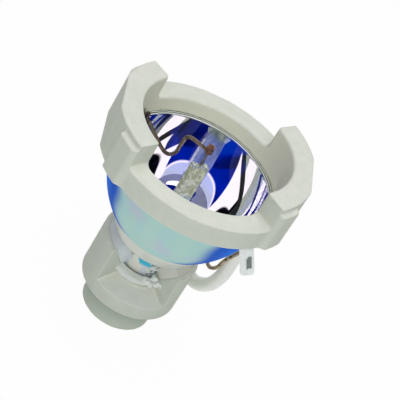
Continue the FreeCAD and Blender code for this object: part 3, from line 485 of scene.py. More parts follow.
def ceramic(name, pale, shade, scale=2400.0, depth=0.00006, stub_top=0.0, bore=0.0,
            side=0.0):
    """Fired ceramic or cement. Below stub_top it is greyer, with painted shade that is darkest just
    under the holder's edge. Inside the radius bore it is painted paler and warmer, as painted light
    on the ring's inner wall, and from the mirror's second reflection on it is painted dark. Its
    upright faces get painted shade, darker and greener by side."""
    material, board, shader, place = new_material(name)
    grain = place_effect(board, fired_grain(), Vector=place, Scale=scale)
    stain = place_effect(board, soft_clouds(), Vector=place, Scale=55.0, Low=0.4, High=0.72)
    tone = board.blend(board.maths("MULTIPLY", grain["Tone"], 0.35), pale, shade)
    tone = board.blend(board.maths("MULTIPLY", stain["Mask"], 0.25), tone, shade)
    tone = board.blend(board.maths("MULTIPLY", grain["Specks"], 0.25), tone, (0.32, 0.30, 0.25))
    if side:
        # Painted shade: upright faces are darker and greener by side.
        facing = board.add("SeparateXYZ", Vector=board.add("TexCoord").outputs["Normal"]).outputs
        upright = board.span(board.maths("ABSOLUTE", facing["Z"]), 0.5, 0.15)
        tone = board.blend(board.maths("MULTIPLY", upright, side), tone, (0.36, 0.43, 0.34))
    if bore:
        # Painted light: inside the bore the ring is paler and warmer.
        radius = from_axis(board, board.add("SeparateXYZ", Vector=place).outputs)
        tone = board.blend(board.span(radius, bore + 0.0002, bore - 0.0001), tone,
                           (0.98, 0.98, 0.78))
        # Painted reflection: from the second reflection on, the ring is shown nearly black.
        twice = board.maths("GREATER_THAN", board.add("LightPath").outputs["Glossy Depth"], 1.5)
        tone = board.blend(board.maths("MULTIPLY", twice, 0.9), tone, (0.03, 0.035, 0.03))
    if stub_top:
        # Painted shade: below stub_top the tone is greyer, darkest just under the holder's edge.
        height = board.add("SeparateXYZ", Vector=place).outputs["Z"]
        low = board.span(height, stub_top + 0.0003, stub_top - 0.0003)
        stub = board.blend(board.span(height, 0.0, stub_top), (0.68, 0.74, 0.65),
                           (0.42, 0.48, 0.41))
        tone = board.blend(low, tone, stub)
    board.put(shader, "Base Color", tone)
    board.put(shader, "Roughness", board.span(grain["Height"], 0.2, 1.0, 0.55, 0.8))
    board.put(shader, "IOR", 1.45)
    relief(board, shader, grain["Height"], depth, 0.6)
    return material


def tarnished(name, bright, dull, roughness=0.3, stretch=(4000.0, 4000.0, 300.0), metal=1.0):
    """Drawn or rolled metal, bright with duller tarnish."""
    material, board, shader, place = new_material(name)
    marks = place_effect(board, drawn_metal(), Vector=place, Stretch=stretch)
    board.put(shader, "Base Color", board.blend(marks["Tarnish"], bright, dull))
    board.put(shader, "Metallic", metal)
    board.put(shader, "Roughness", board.span(marks["Height"], 0.3, 0.7, roughness - 0.08,
                                              roughness + 0.15))
    relief(board, shader, marks["Height"], 0.00002, 0.5)
    return material


def outside_glass(colours):
    """Coated glass from outside: pale square on, with soft upright painted reflection streaks and
    lavender clouds, and deep blue along the surface, in a band that is wider further down. Under
    the coating's edge the glass is bare and milky, and the neck shows glass and cement through it,
    with painted glints."""
    material, board, shader, place = new_material("coated_glass")
    parts = board.add("SeparateXYZ", Vector=place).outputs
    level = board.maths("MULTIPLY", parts["Z"], 1000.0)
    angle = board.maths("ARCTAN2", parts["Y"], parts["X"])
    violet = place_effect(board, soft_clouds(), Vector=place, Scale=95.0, Low=0.46, High=0.66)
    tint = board.blend(board.maths("MULTIPLY", violet["Mask"], 0.8), tuple(colours.glass_pale),
                       tuple(colours.glass_violet))
    # Painted reflections: soft upright streaks, a little greener.
    around = board.add("CombineXYZ", X=board.maths("COSINE", angle), Y=board.maths("SINE", angle),
                       Z=board.maths("MULTIPLY", parts["Z"], 12.0))
    streak_reflection = place_effect(board, soft_clouds(), Vector=around.outputs[0], Scale=5.0, Low=0.42,
                          High=0.62)
    tint = board.blend(board.maths("MULTIPLY", streak_reflection["Mask"], 0.45), tint, (0.56, 0.80, 0.70))
    facing = board.add("LayerWeight", Blend=0.5).outputs["Facing"]
    limit = board.span(level, 38.0, 57.0, 0.95, 0.59)
    past = board.maths("SUBTRACT", facing, limit)
    deeper = board.blend(board.span(past, -0.13, 0.0), tint, (0.02, 0.13, 0.70))
    coated = board.blend(board.span(past, 0.0, 0.16), deeper, tuple(colours.glass_blue))
    wander = board.add("TexNoise", Vector=place, Scale=160.0, Detail=2.0).outputs[0]
    height = board.maths("MULTIPLY_ADD", wander, 1.6, level)
    bare = board.span(height, 40.0, 39.2)
    milky = board.blend(violet["Mask"], tuple(colours.glass_clear), (0.66, 0.69, 0.64))
    skin = board.blend(bare, coated, milky)
    skin = board.blend(board.span(level, 32.4, 31.5), skin, (0.26, 0.27, 0.40))
    skin = board.blend(board.span(level, 31.2, 30.8), skin,
                       neck_tones(board, place, level, angle))
    board.put(shader, "Base Color", skin)
    board.put(shader, "Roughness", 0.10)
    board.put(shader, "IOR", 1.5)
    board.put(shader, "Specular IOR Level", 0.0)
    board.put(shader, "Coat Weight", 0.08)
    return material


def neck_tones(board, place, level, angle):
    """Tones round the neck: lavender, a cream band, a cyan painted glint, pale chips with teal
    marks, and a yellow green painted glint, with edges that wander."""
    wander = board.add("TexNoise", Vector=place, Scale=420.0, Detail=3.0).outputs[0]
    chips = board.add("TexNoise", Vector=place, Scale=900.0, Detail=3.0).outputs[0]
    turn = board.maths("MULTIPLY_ADD", wander, 34.0,
                       board.maths("MULTIPLY_ADD", angle, DEGREES, -17.0))
    marked = board.blend(board.span(chips, 0.52, 0.62), (0.84, 0.87, 0.86), (0.20, 0.33, 0.35))
    tone = board.blend(board.span(level, 25.5, 27.0), (0.78, 0.83, 0.92), (0.42, 0.46, 0.28))
    # The cyan and the yellow green are painted glints.
    for low, high, colour_here, bottom in ((-125.0, -98.0, (0.94, 0.93, 0.86), 0.0),
                                           (-108.0, -74.0, (0.10, 0.62, 0.86), 25.4),
                                           (-80.0, -45.0, marked, 0.0),
                                           (-47.0, 5.0, (0.50, 0.54, 0.22), 0.0)):
        share = board.maths("MULTIPLY", board.span(turn, low - 3, low + 3),
                            board.span(turn, high + 3, high - 3))
        share = board.maths("MULTIPLY", share, board.span(level, bottom - 0.5, bottom + 0.5))
        tone = board.blend(share, tone, colour_here)
    return tone


def inside_mirror(colours):
    """Coated inside: it reflects much of the light, and its blue base colour is painted light, the
    blue that the coating lets through. It has painted shade, black, where the ring lies behind it,
    it is painted black in the dark patches and in the dark sectors, and it has a painted brighter
    blue gleam in one."""
    material, board, shader, place = new_material("dichroic_mirror")
    parts = board.add("SeparateXYZ", Vector=place).outputs
    angle = board.maths("MULTIPLY", board.maths("ARCTAN2", parts["Y"], parts["X"]), DEGREES)
    level = board.maths("MULTIPLY", parts["Z"], 1000.0)
    wander = board.add("TexNoise", Vector=place, Scale=230.0, Detail=3.0).outputs[0]
    wander = board.maths("MULTIPLY_ADD", wander, 1.5, -0.75)
    # Painted shade: black towards the rim, where the ring lies behind the glass.
    dark = board.span(board.maths("ADD", level, wander), 58.6, 60.0)
    # Painted dark reflections: the dark patches.
    for middle, height, width, depth, lean in PAINTED_DARK_REFLECTIONS:
        aside = board.maths("SUBTRACT", angle, middle)
        across = board.maths("DIVIDE", aside, width)
        leaning = board.maths("MULTIPLY_ADD", aside, lean, level)
        up = board.maths("DIVIDE", board.maths("SUBTRACT", leaning, height), depth)
        reach = board.maths("ADD", board.maths("MULTIPLY", across, across),
                            board.maths("MULTIPLY", up, up))
        patch = board.span(board.maths("ADD", reach, wander), 1.3, 0.6)
        dark = board.maths("MAXIMUM", dark, patch)
    haze = place_effect(board, soft_clouds(), Vector=place, Scale=110.0, Low=0.35, High=0.7)
    # Painted light: the blue that the coating lets through, deeper in soft clouds.
    blue = board.blend(haze["Mask"], tuple(colours.mirror_blue), (0.0, 0.012, 0.45))
    wavy = board.maths("MULTIPLY_ADD", wander, 4.0, angle)
    # Painted dark sectors.
    for middle in DARK_SECTORS:
        off = board.maths("ABSOLUTE", board.maths("SUBTRACT", wavy, middle))
        dark = board.maths("MAXIMUM", dark, board.span(off, 36.0, 32.0))
    skin = board.blend(dark, blue, (0.004, 0.004, 0.012))
    # Painted gleam: a brighter blue patch.
    aside = board.maths("SUBTRACT", angle, GLEAM_ANGLE)
    leaning = board.maths("MULTIPLY_ADD", aside, PATCH_LEAN, level)
    gleam = board.maths("MULTIPLY", board.span(board.maths("ABSOLUTE", aside), 12.0, 9.0),
                        board.span(board.maths("ADD", wander, leaning), 57.4, 58.6))
    board.put(shader, "Base Color", board.blend(gleam, skin, (0.0, 0.08, 1.0)))
    board.put(shader, "Roughness", 0.012)
    board.put(shader, "IOR", 7.0)
    return material


def rim_painted_reflections():
    """Cut and ground end of the glass, with fine rings of pale and dark grey green painted as the
    rim's reflections.
    """
    material, board, shader, place = new_material("rim_painted_reflections")
    radius = from_axis(board, board.add("SeparateXYZ", Vector=place).outputs)
    # Painted reflections: rings of pale and dark.
    wave = board.maths("SINE", board.maths("MULTIPLY", radius, 7800.0))
    tone = board.blend(board.span(wave, -0.3, 0.4), (0.035, 0.05, 0.045), (0.78, 0.83, 0.80))
    board.put(shader, "Base Color", tone)
    board.put(shader, "Roughness", 0.25)
    board.put(shader, "IOR", 1.5)
    return material


def frosted_quartz():
    """Quartz with ripples and fine frost, which is thickest on the two flattened seals."""
    material, board, shader, place = new_material("quartz")
    parts = board.add("SeparateXYZ", Vector=place).outputs
    ripple = board.add("TexNoise", Vector=place, Scale=700.0, Detail=3.0).outputs[0]
    frost = board.add("TexNoise", Vector=place, Scale=2600.0, Detail=4.0).outputs[0]
    level = board.maths("MULTIPLY", parts["Z"], 1000.0)
    end = board.span(level, 62.2, 63.0)
    speckled = board.blend(board.span(frost, 0.40, 0.60), (0.93, 0.97, 0.96), (0.16, 0.24, 0.25))
    body = board.blend(board.span(ripple, 0.38, 0.62), (0.40, 0.53, 0.54), (0.76, 0.86, 0.86))
    seal = board.blend(board.span(ripple, 0.40, 0.60), (0.62, 0.68, 0.42), (0.98, 1.0, 0.78))
    body = board.blend(board.span(level, 50.5, 52.0), body, seal)
    board.put(shader, "Base Color", board.blend(end, body, speckled))
    board.put(shader, "Transmission Weight", 0.15)
    board.put(shader, "IOR", 1.46)
    board.put(shader, "Roughness", board.span(ripple, 0.4, 0.7, 0.06, 0.42))
    relief(board, shader, ripple, 0.0003, 0.7)
    return material


def chipped_glass():
    """Bright chips of glass and cement, pale with teal grey edges."""
    material, board, shader, place = new_material("glass_chips")
    marks = board.add("TexNoise", Vector=place, Scale=1100.0, Detail=3.0).outputs[0]
    board.put(shader, "Base Color", board.blend(board.span(marks, 0.56, 0.70), (0.93, 0.95, 0.93),
                                                (0.36, 0.47, 0.47)))
    board.put(shader, "Roughness", board.span(marks, 0.3, 0.7, 0.12, 0.4))
    board.put(shader, "IOR", 1.5)
    relief(board, shader, marks, 0.0002, 0.6)
    return material


# Pieces


class LAMP_OT_ceramics(bpy.types.Operator):
    """Finish the ceramic ring, the ceramic holder and the cement"""
    bl_idname = "lamp.ceramics"
    bl_label = "Ceramics"

    def softened(self, node, name, voxel, rounds):
        """Copy of a solid, merged, remeshed on a fine even grid and relaxed, so that its edges turn
        as softly as pressed ceramic does."""
        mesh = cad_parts[node].data.copy()
        mesh.materials.clear()
        shape = bmesh.new()
        shape.from_mesh(mesh)
        bmesh.ops.remove_doubles(shape, verts=shape.verts, dist=1e-6)
        shape.to_mesh(mesh)
        shape.free()
        mesh.name = name
        mesh.polygons.foreach_set("use_smooth", [True] * len(mesh.polygons))
        piece = bpy.data.objects.new(name, mesh)
        bpy.context.scene.collection.objects.link(piece)
        grid = piece.modifiers.new("even_grid", "REMESH")
        grid.mode = "VOXEL"
        grid.voxel_size = voxel
        grid.use_smooth_shade = True
        relax = piece.modifiers.new("relax", "SMOOTH")
        relax.factor = 0.5
        relax.iterations = rounds
        return piece

    def execute(self, context):
        colours = context.scene.lamp_colours
        pale, shade = tuple(colours.ceramic_pale), tuple(colours.ceramic_shade)
        ring = ceramic("ring_ceramic", pale, shade, bore=0.0246, side=0.32)
        dressed(self.softened("front_ring", "soft_front_ring", 0.0004, 3), ring, "front_ring",
                "front_ring")
        holder = ceramic("holder_ceramic", pale, shade, stub_top=0.0104, side=0.36)
        dressed(self.softened("base_holder", "soft_base_holder", 0.0003, 3), holder, "base_holder",
                "base_holder")
        cement = ceramic("dry_cement", tuple(colours.cement), shade, 1500.0, 0.00015)
        coat_node(cement, "ring_cement", "neck_cement_right", "seal_plug")
        coat_node(ceramic("grey_cement", (0.86, 0.90, 0.94), (0.72, 0.78, 0.83), 1500.0, 0.0001),
                  "neck_cement_left")
        return {"FINISHED"}


class LAMP_OT_neck_chips(bpy.types.Operator):
    """Lay the lumps of glass and cement round the foot of the neck"""
    bl_idname = "lamp.neck_chips"
    bl_label = "Neck chips"

    def lump(self, radius, angle, height, size, number):
        """Ball of radius size (1 + waves in both of its angles), flattened a little, with its
        middle at the given place."""
        rise = np.linspace(0.06, 0.94, 9)[:, None] * math.pi
        turn = np.arange(14)[None, :] * 2 * math.pi / 14
        reach = 0.001 * size * (1 + 0.22 * np.sin(2 * turn + number) * np.sin(2 * rise + 2 * number)
                                + 0.16 * np.sin(3 * turn + 5 * number) * np.sin(rise)
                                + 0.10 * np.sin(5 * turn - number + 3 * rise))
        middle = on_circle([(radius, angle, height)])[0]
        offset = np.stack([reach * np.sin(rise) * np.cos(turn), reach * np.sin(rise) * np.sin(turn),
                           0.8 * reach * np.cos(rise)], axis=-1)
        return middle + offset

    def execute(self, context):
        grids = [self.lump(*row, number) for number, row in enumerate(NECK_LUMPS, start=1)]
        radius, height, thickness, low, high = FOOT_BAND
        count = 70
        share = np.linspace(0, 1, count)
        route = np.column_stack([np.full(count, radius), low + (high - low) * share,
                                 np.full(count, height)])
        reach = 0.001 * thickness * (np.sqrt(np.clip(np.sin(math.pi * share), 0.05, 1))
                                     + 0.05 * np.sin(29 * share))
        band = solid_from_grids("foot_band", [tube_grid(on_circle(route), reach, 20)])
        foot = ceramic("foot_cement", (0.90, 0.91, 0.89), (0.76, 0.80, 0.80), 900.0, 0.00005)
        dressed(band, foot, "cement")
        dressed(solid_from_grids("neck_chips", grids), chipped_glass(), "cement")
        return {"FINISHED"}


class LAMP_OT_reflector(bpy.types.Operator):
    """Make the blown glass reflector with its mirror inside and its rounded rim"""
    bl_idname = "lamp.reflector"
    bl_label = "Glass reflector"

    def execute(self, context):
        """Outside ellipse, rounded rim, inside ellipse, straight neck and B-spline shoulder, turned
        about the axis."""
        s, colours = context.scene.lamp_sizes, context.scene.lamp_colours

        def ellipse(height, widest, half, centre):
            """Radius at a height."""
            return widest * math.sqrt(1 - ((height - centre) / half) ** 2)

        def meeting(radius, widest, half, centre):
            """Height under the middle at which the ellipse has a radius."""
            return centre - half * math.sqrt(1 - (radius / widest) ** 2)

        def rounded(first, corner, last, count=12):
            """Parabola (1-t)^2 A + 2t(1-t) B + t^2 C that turns a corner."""
            t = np.linspace(0, 1, count)[:, None]
            return (1 - t) ** 2 * first + 2 * t * (1 - t) * corner + t ** 2 * last

        bore = s.neck_radius - s.neck_wall
        outside = (s.glass_radius, s.glass_half, s.glass_centre)
        inside = (s.mirror_radius, s.mirror_half, s.mirror_centre)
        top_in = meeting(bore, *inside)
        start_in = meeting(bore + 0.0015, *inside)
        bend = s.rim_round

        def sweep(low, high, widest, half, centre, count):
            """Ellipse between two heights, in even steps of its angle."""
            first = math.acos(np.clip((centre - low) / half, -1, 1))
            last = math.acos(np.clip((centre - high) / half, -1, 1))
            turn = np.linspace(first, last, count)
            return np.column_stack([widest * np.sin(turn), centre - half * np.cos(turn)])

        shell_out = sweep(s.shoulder_top, s.rim_height - bend, *outside, 110)
        shell_in = sweep(start_in, s.rim_height - bend, *inside, 140)[::-1]
        lip_out = rounded(shell_out[-1],
                          np.array([ellipse(s.rim_height, *outside), s.rim_height]),
                          np.array([shell_out[-1][0] - bend, s.rim_height]), 8)
        lip_in = rounded(np.array([shell_in[0][0] + bend, s.rim_height]),
                         np.array([shell_in[0][0], s.rim_height]), shell_in[0], 8)
        neck_in = rounded(shell_in[-1], np.array([bore, top_in]), np.array([bore, top_in - 0.0012]))
        shoulder = np.vstack([0.001 * np.array(SHOULDER), shell_out[:1]])
        neck_out = smooth_line(shoulder, 0.0004)[0]
        profile = np.vstack([shell_out, lip_out[1:], lip_in, shell_in[1:], neck_in[1:],
                             [[bore, s.neck_end]], [[s.neck_radius, s.neck_end]], neck_out[:-1]])
        steps, lap = 240, 4
        inner_start = len(shell_out) + len(lip_out) - 1 + len(lip_in) - lap
        inner_end = inner_start + len(shell_in) + lap
        piece = solid_from_grids("reflector_glass", [lathe_grid(profile, steps)], loop_rows=True)
        dressed(piece, outside_glass(colours), "reflector", "reflector")
        piece.data.materials.append(inside_mirror(colours))
        piece.data.materials.append(rim_painted_reflections())
        rows = np.arange(len(piece.data.polygons)) // steps
        coat = np.where((rows >= inner_start) & (rows < inner_end), 1, 0)
        coat[(rows >= len(shell_out) - 1) & (rows < inner_start)] = 2
        piece.data.polygons.foreach_set("material_index", coat.astype(np.int32))
        return {"FINISHED"}


class LAMP_OT_burner(bpy.types.Operator):
    """Finish the quartz burner and the metal sealed in it"""
    bl_idname = "lamp.burner"
    bl_label = "Burner"

    def execute(self, context):
        coat_node(frosted_quartz(), "arc_tube")
        coat_node(tarnished("tungsten", (0.42, 0.42, 0.43), (0.20, 0.20, 0.21), 0.35),
                  "front_electrode", "rear_electrode")
        coat_node(tarnished("molybdenum_foil", (0.72, 0.76, 0.77), (0.46, 0.52, 0.54), 0.4,
                            metal=0.2), "front_foil", "rear_foil")
        coat_node(tarnished("pin_metal", (0.55, 0.52, 0.48), (0.30, 0.24, 0.18), 0.4),
                  "front_pin", "rear_pin")
        return {"FINISHED"}


class LAMP_OT_leads(bpy.types.Operator):
    """Lay the twisted strands of the front lead, its weld and its clip"""
    bl_idname = "lamp.leads"
    bl_label = "Front lead"

    def strands(self, line, steps, rope, pitch, count):
        """Strands wound on a middle one: each is a tube of about a third of the lead's radius, on a
        helix of 0.7 of it. Slow waves in its radius and turn make the winding a little uneven."""
        side, up = frames_along(line)
        grids = [tube_grid(line, rope * 0.34, 6)]
        for k in range(count):
            wave = 0.25 * np.sin(steps * 900.0 + 2.1 * k) + 0.12 * np.sin(steps * 2300.0 + k * k)
            turn = 2 * math.pi * (steps / pitch + k / count) + wave
            reach = rope * (0.70 + 0.05 * np.sin(steps * 1400.0 + 1.7 * k))
            helix = line + reach[:, None] * (np.cos(turn)[:, None] * side
                                             + np.sin(turn)[:, None] * up)
            grids.append(tube_grid(helix, rope * 0.31, 6))
        return grids

    def execute(self, context):
        s, colours = context.scene.lamp_sizes, context.scene.lamp_colours
        brown = tarnished("brown_strands", tuple(colours.lead_brown), (0.15, 0.11, 0.07), 0.36,
                          (1500.0, 1500.0, 1500.0))
        for name, route in (("front_lead", FRONT_LEAD), ("front_lead_tail", LEAD_TAIL)):
            line, steps = smooth_line(on_circle(route))
            piece = solid_from_grids(name + "_strands",
                                     self.strands(line, steps, s.strand_rope, s.strand_pitch,
                                                  s.strand_count))
            dressed(piece, brown, "brown_lead", name)
        copper = tarnished("copper_weld", tuple(colours.weld_copper), (0.20, 0.12, 0.09), 0.28,
                           (2200.0, 2200.0, 2200.0))
        coat_node(copper, "weld_sleeve", "rear_crimp")
        dark = tarnished("clip_metal", (0.34, 0.27, 0.20), (0.11, 0.08, 0.06), 0.4,
                         (1500.0, 1500.0, 1500.0))
        coat_node(dark, "rim_clip")
        dressed(solid_from_grids("clip_binding", self.binding()), dark, "brown_lead")
        return {"FINISHED"}

    def binding(self):
        """Turns of one strand about the clip, a helix of uneven radius along the circle of the rim,
        and the loose strands, each a thin tube along its own B-spline."""
        t = np.linspace(0, 1, 160)
        turn = 2 * math.pi * 4.5 * t
        reach = 1.0 + 0.2 * np.sin(9 * t) + 0.12 * np.sin(31 * t)
        route = np.column_stack([22.5 + reach * np.cos(turn),
                                 149.0 + 5.0 * (t - 0.5) + 0.9 * np.sin(13 * t),
                                 61.1 + 1.25 * reach * np.sin(turn)])
        grids = [tube_grid(on_circle(route), 0.00024, 8)]
        for strand in LOOSE_STRANDS:
            line, _ = smooth_line(on_circle(strand), 0.0003)
            grids.append(tube_grid(line, np.linspace(0.00012, 0.00007, len(line)), 6))
        return grids


class LAMP_OT_rear_lead(bpy.types.Operator):
    """Finish the white sleeve of the rear lead and its bare core"""
    bl_idname = "lamp.rear_lead"
    bl_label = "Rear lead"

    def execute(self, context):
        colours = context.scene.lamp_colours
        material, board, shader, place = new_material("white_sleeve")
        haze = place_effect(board, soft_clouds(), Vector=place, Scale=90.0, Low=0.4, High=0.8)
        board.put(shader, "Base Color", board.blend(board.maths("MULTIPLY", haze["Mask"], 0.3),
                                                    tuple(colours.white_sleeve),
                                                    (0.80, 0.83, 0.79)))
        board.put(shader, "Roughness", 0.28)
        board.put(shader, "Coat Weight", 0.5)
        weave = board.add("TexNoise", Vector=place, Scale=2600.0, Detail=2.0)
        relief(board, shader, weave.outputs[0], 0.00003, 0.4)
        coat_node(material, "rear_lead_sleeve")
        coat_node(tarnished("tinned_core", (0.62, 0.60, 0.55), (0.35, 0.32, 0.28), 0.35),
                  "rear_lead_core")
        return {"FINISHED"}


class LAMP_OT_terminals(bpy.types.Operator):
    """Finish the plated terminals and their rivets"""
    bl_idname = "lamp.terminals"
    bl_label = "Terminals"

    def slotted(self, bright, name, side):
        """Tin plate with a patch of painted shade for the pocket pressed in its blade. The painted
        shade is placed on the plate by the distance out from the axis and the distance along the
        rim, in the blade's direction."""
        material, board, shader, place = new_material(name)
        marks = place_effect(board, drawn_metal(), Vector=place)
        parts = board.add("SeparateXYZ", Vector=place).outputs
        turn = math.radians(52.0 * side)
        out = board.maths("ADD", board.maths("MULTIPLY", parts["X"], math.cos(turn)),
                          board.maths("MULTIPLY", parts["Y"], math.sin(turn)))
        along = board.maths("SUBTRACT", board.maths("MULTIPLY", parts["Y"], math.cos(turn)),
                            board.maths("MULTIPLY", parts["X"], math.sin(turn)))
        # Painted shade standing for the pressed pocket.
        slot_shade = board.span(board.maths("ABSOLUTE", board.maths("SUBTRACT", out, 0.0342)),
                          0.0013, 0.0011)
        slot_shade = board.maths("MULTIPLY", slot_shade, board.span(
            board.maths("ABSOLUTE", board.maths("ADD", along, 0.0007 * side)), 0.0009, 0.0007))
        tone = board.blend(board.maths("MULTIPLY", marks["Tarnish"], 0.6), bright,
                           (0.76, 0.80, 0.80))
        board.put(shader, "Base Color", board.blend(slot_shade, tone, (0.20, 0.23, 0.23)))
        board.put(shader, "Metallic", 0.12)
        board.put(shader, "Roughness", board.span(marks["Height"], 0.3, 0.7, 0.24, 0.42))
        relief(board, shader, marks["Height"], 0.00002, 0.5)
        return material

    def execute(self, context):
        colours = context.scene.lamp_colours
        plate = tarnished("tin_plate", tuple(colours.tin), (0.66, 0.69, 0.67), 0.34, metal=0.35)
        coat_node(plate, "near_rivet", "far_rivet")
        for name, side in (("near_terminal", -1.0), ("far_terminal", 1.0)):
            coat_node(self.slotted(tuple(colours.tin), name + "_plate", side), name)
        return {"FINISHED"}


class LAMP_OT_stage(bpy.types.Operator):
    """Set the floor, the surroundings, the softboxes and the camera"""
    bl_idname = "lamp.stage"
    bl_label = "Stage"

    def softbox(self, name, azimuth, elevation, distance, width, height, level):
        """Area lamp that faces the object. Its power gives the same brightness at any size, and
        polished parts show the panels of the surroundings in its place."""
        turn, rise = math.radians(azimuth), math.radians(elevation)
        target = Vector((0.0, 0.0, 0.05))
        place = target + distance * Vector((math.cos(rise) * math.cos(turn),
                                            math.cos(rise) * math.sin(turn), math.sin(rise)))
        lamp = bpy.data.lights.new(name, "AREA")
        lamp.shape = "RECTANGLE"
        lamp.size, lamp.size_y = width, height
        lamp.energy = level * math.pi * width * height
        stand = bpy.data.objects.new(name, lamp)
        stand.location = place
        stand.rotation_euler = (target - place).to_track_quat("-Z", "Y").to_euler()
        stand.visible_glossy = False
        bpy.context.scene.collection.objects.link(stand)

    def panel(self, board, azimuth, elevation, low, high, bottom, top):
        """Share of a bright panel between two azimuths and two elevations, in degrees."""
        side = board.maths("MULTIPLY", board.span(azimuth, low - 0.6, low + 0.6),
                           board.span(azimuth, high + 0.6, high - 0.6))
        rise = board.maths("MULTIPLY", board.span(elevation, bottom - 0.4, bottom + 0.4),
                           board.span(elevation, top + 0.4, top - 0.4))
        return board.maths("MULTIPLY", side, rise)

    def surroundings(self, settings):
        """White to the camera and through glass. Fill light is stronger from above. Polished parts
        show a dark room with bright panels, and a pale grey wall near the horizon. From the second
        reflection the walls are paler, and from the third the panels are others. Light that
        reaches a matt part by way of a mirror comes from a brighter room."""
        world = bpy.data.worlds.new("studio")
        bpy.context.scene.world = world
        world.use_nodes = True
        world.node_tree.nodes.clear()
        board = Board(world.node_tree)
        rays = board.add("LightPath").outputs
        way = board.add("SeparateXYZ", Vector=board.add("TexCoord").outputs["Generated"]).outputs
        azimuth = board.maths("MULTIPLY", board.maths("ARCTAN2", way["Y"], way["X"]), DEGREES)
        elevation = board.maths("MULTIPLY", board.maths("ARCSINE", way["Z"]), DEGREES)
        depth = rays["Glossy Depth"]
        twice = board.maths("GREATER_THAN", depth, 1.5)
        pale_wall = board.blend(twice, (0.62, 0.66, 0.74), (1.5, 1.6, 1.8))
        seen = board.blend(board.span(elevation, 31.2, 30.6), (0.0, 0.0, 0.0), pale_wall)
        level_wall = board.blend(twice, (1.1, 1.1, 1.1), (1.9, 1.95, 2.1))
        seen = board.blend(board.span(elevation, 22.0, 14.0), seen, level_wall)
        bright = self.panel(board, azimuth, elevation, *PANELS[0])
        for edges in PANELS[1:]:
            bright = board.maths("MAXIMUM", bright, self.panel(board, azimuth, elevation, *edges))
        seen = board.blend(bright, seen, (3.3, 3.0, 3.3))
        for least, panels in ((2.5, THIRD_PANELS), (3.5, LATER_PANELS)):
            room = (0.0, 0.0, 0.0)
            for *edges, glow in panels:
                room = board.blend(self.panel(board, azimuth, elevation, *edges), room, glow)
            seen = board.blend(board.maths("GREATER_THAN", depth, least), seen, room)
        matt_first = board.maths("GREATER_THAN", rays["Diffuse Depth"], 0.5)
        lit = board.blend(board.span(way["Z"], -0.1, 0.85), (0.20, 0.24, 0.20), (1.35, 1.35, 1.31))
        lit = board.blend(board.span(way["X"], -0.1, -0.8), lit, (0.10, 0.115, 0.13))
        lit = board.blend(board.span(way["X"], 0.2, 0.85), lit, (0.14, 0.18, 0.16))
        thrown = board.maths("MULTIPLY", rays["Is Glossy Ray"], matt_first)
        lit = board.blend(thrown, lit, (3.6, 3.5, 2.6))
        glossy = board.add("Background", Color=seen, Strength=1.0)
        fill = board.add("Background", Color=lit, Strength=settings.fill_level)
        white = board.add("Background", Color=(1.0, 1.0, 1.0), Strength=1.0)
        links = world.node_tree.links
        first = board.add("MixShader")
        mirrored = board.maths("MULTIPLY", rays["Is Glossy Ray"],
                               board.maths("SUBTRACT", 1.0, matt_first))
        links.new(mirrored, first.inputs[0])
        links.new(fill.outputs[0], first.inputs[1])
        links.new(glossy.outputs[0], first.inputs[2])
        plain = board.maths("MAXIMUM", rays["Is Camera Ray"], rays["Is Transmission Ray"])
        second = board.add("MixShader")
        links.new(plain, second.inputs[0])
        links.new(first.outputs[0], second.inputs[1])
        links.new(white.outputs[0], second.inputs[2])
        links.new(second.outputs[0], board.add("OutputWorld").inputs[0])

    def floor(self, settings):
        """White ground that glows to the camera, through glass and in polished parts."""
        half = 0.5 * settings.floor_size
        mesh = bpy.data.meshes.new("floor")
        mesh.from_pydata([(-half, -half, 0), (half, -half, 0), (half, half, 0), (-half, half, 0)],
                         [], [(0, 1, 2, 3)])
        ground = bpy.data.objects.new("floor", mesh)
        bpy.context.scene.collection.objects.link(ground)
        material = bpy.data.materials.new("floor_white")
        material.use_nodes = True
        material.node_tree.nodes.clear()
        board = Board(material.node_tree)
        links = material.node_tree.links
        matt = board.add("BsdfDiffuse", Color=(1.0, 1.0, 1.0))
        glow = board.add("Emission", Color=(1.0, 1.0, 1.0), Strength=1.0)
        rays = board.add("LightPath").outputs
        share = board.maths("MAXIMUM", rays["Is Camera Ray"], rays["Is Transmission Ray"])
        share = board.maths("MAXIMUM", share, rays["Is Glossy Ray"])
        mix = board.add("MixShader")
        links.new(board.maths("MULTIPLY", share, 0.96), mix.inputs[0])
        links.new(matt.outputs[0], mix.inputs[1])
        links.new(glow.outputs[0], mix.inputs[2])
        links.new(mix.outputs[0], board.add("OutputMaterial").inputs[0])
        mesh.materials.append(material)

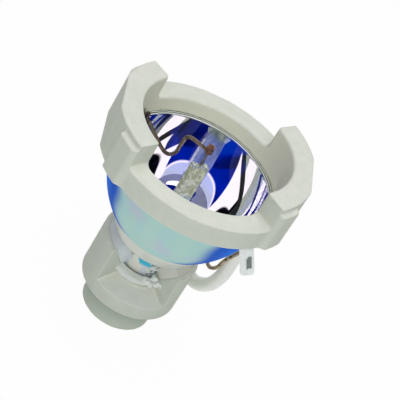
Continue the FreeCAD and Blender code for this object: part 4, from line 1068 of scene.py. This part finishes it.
    def execute(self, context):
        settings = context.scene.lamp_stage
        scene = context.scene
        scene.view_settings.view_transform = "Standard"
        self.surroundings(settings)
        self.floor(settings)
        level = settings.lamp_level
        self.softbox("overhead_softbox", -100.0, 78.0, 0.6, 0.45, 0.45, level * 1.15)
        self.softbox("front_softbox", -102.0, 29.0, 0.7, 0.40, 0.40, level * 1.2)
        view = bpy.data.cameras.new("camera")
        view.lens = settings.focal_length
        view.sensor_width = 36.0
        view.clip_start, view.clip_end = 0.01, 20.0
        camera = bpy.data.objects.new("camera", view)
        right = Vector((0.89566482, 0.0972319, 0.43397062))
        down = Vector((0.39987904, -0.60312376, -0.6901728))
        ahead = Vector((0.19463118, 0.79169924, -0.57907773))
        turn = Matrix((right, -down, -ahead)).transposed().to_4x4()
        camera.matrix_world = Matrix.Translation(Vector(settings.camera_place)) @ turn
        scene.collection.objects.link(camera)
        scene.camera = camera
        return {"FINISHED"}


STEPS = (LAMP_OT_stage, LAMP_OT_ceramics, LAMP_OT_neck_chips, LAMP_OT_reflector,
         LAMP_OT_burner, LAMP_OT_leads, LAMP_OT_rear_lead, LAMP_OT_terminals)


class LAMP_PT_panel(bpy.types.Panel):
    """Buttons for the lamp's pieces"""
    bl_idname = "LAMP_PT_panel"
    bl_label = "Reflector lamp"
    bl_space_type = "VIEW_3D"
    bl_region_type = "UI"
    bl_category = "Reflector lamp"

    def draw(self, context):
        for step in STEPS:
            self.layout.operator(step.bl_idname)


CLASSES = (LampSizes, LampColours, StageSettings, *STEPS, LAMP_PT_panel)


def register():
    for each in CLASSES:
        bpy.utils.register_class(each)
    bpy.types.Scene.lamp_sizes = PointerProperty(type=LampSizes)
    bpy.types.Scene.lamp_colours = PointerProperty(type=LampColours)
    bpy.types.Scene.lamp_stage = PointerProperty(type=StageSettings)


def unregister():
    del bpy.types.Scene.lamp_stage, bpy.types.Scene.lamp_colours, bpy.types.Scene.lamp_sizes
    for each in reversed(CLASSES):
        bpy.utils.unregister_class(each)


def main():
    """Builds the dressed lamp and its stage."""
    register()
    bpy.ops.lamp.stage()
    bpy.ops.lamp.ceramics()
    bpy.ops.lamp.neck_chips()
    bpy.ops.lamp.reflector()
    bpy.ops.lamp.burner()
    bpy.ops.lamp.leads()
    bpy.ops.lamp.rear_lead()
    bpy.ops.lamp.terminals()


if __name__ == "__main__":
    main()
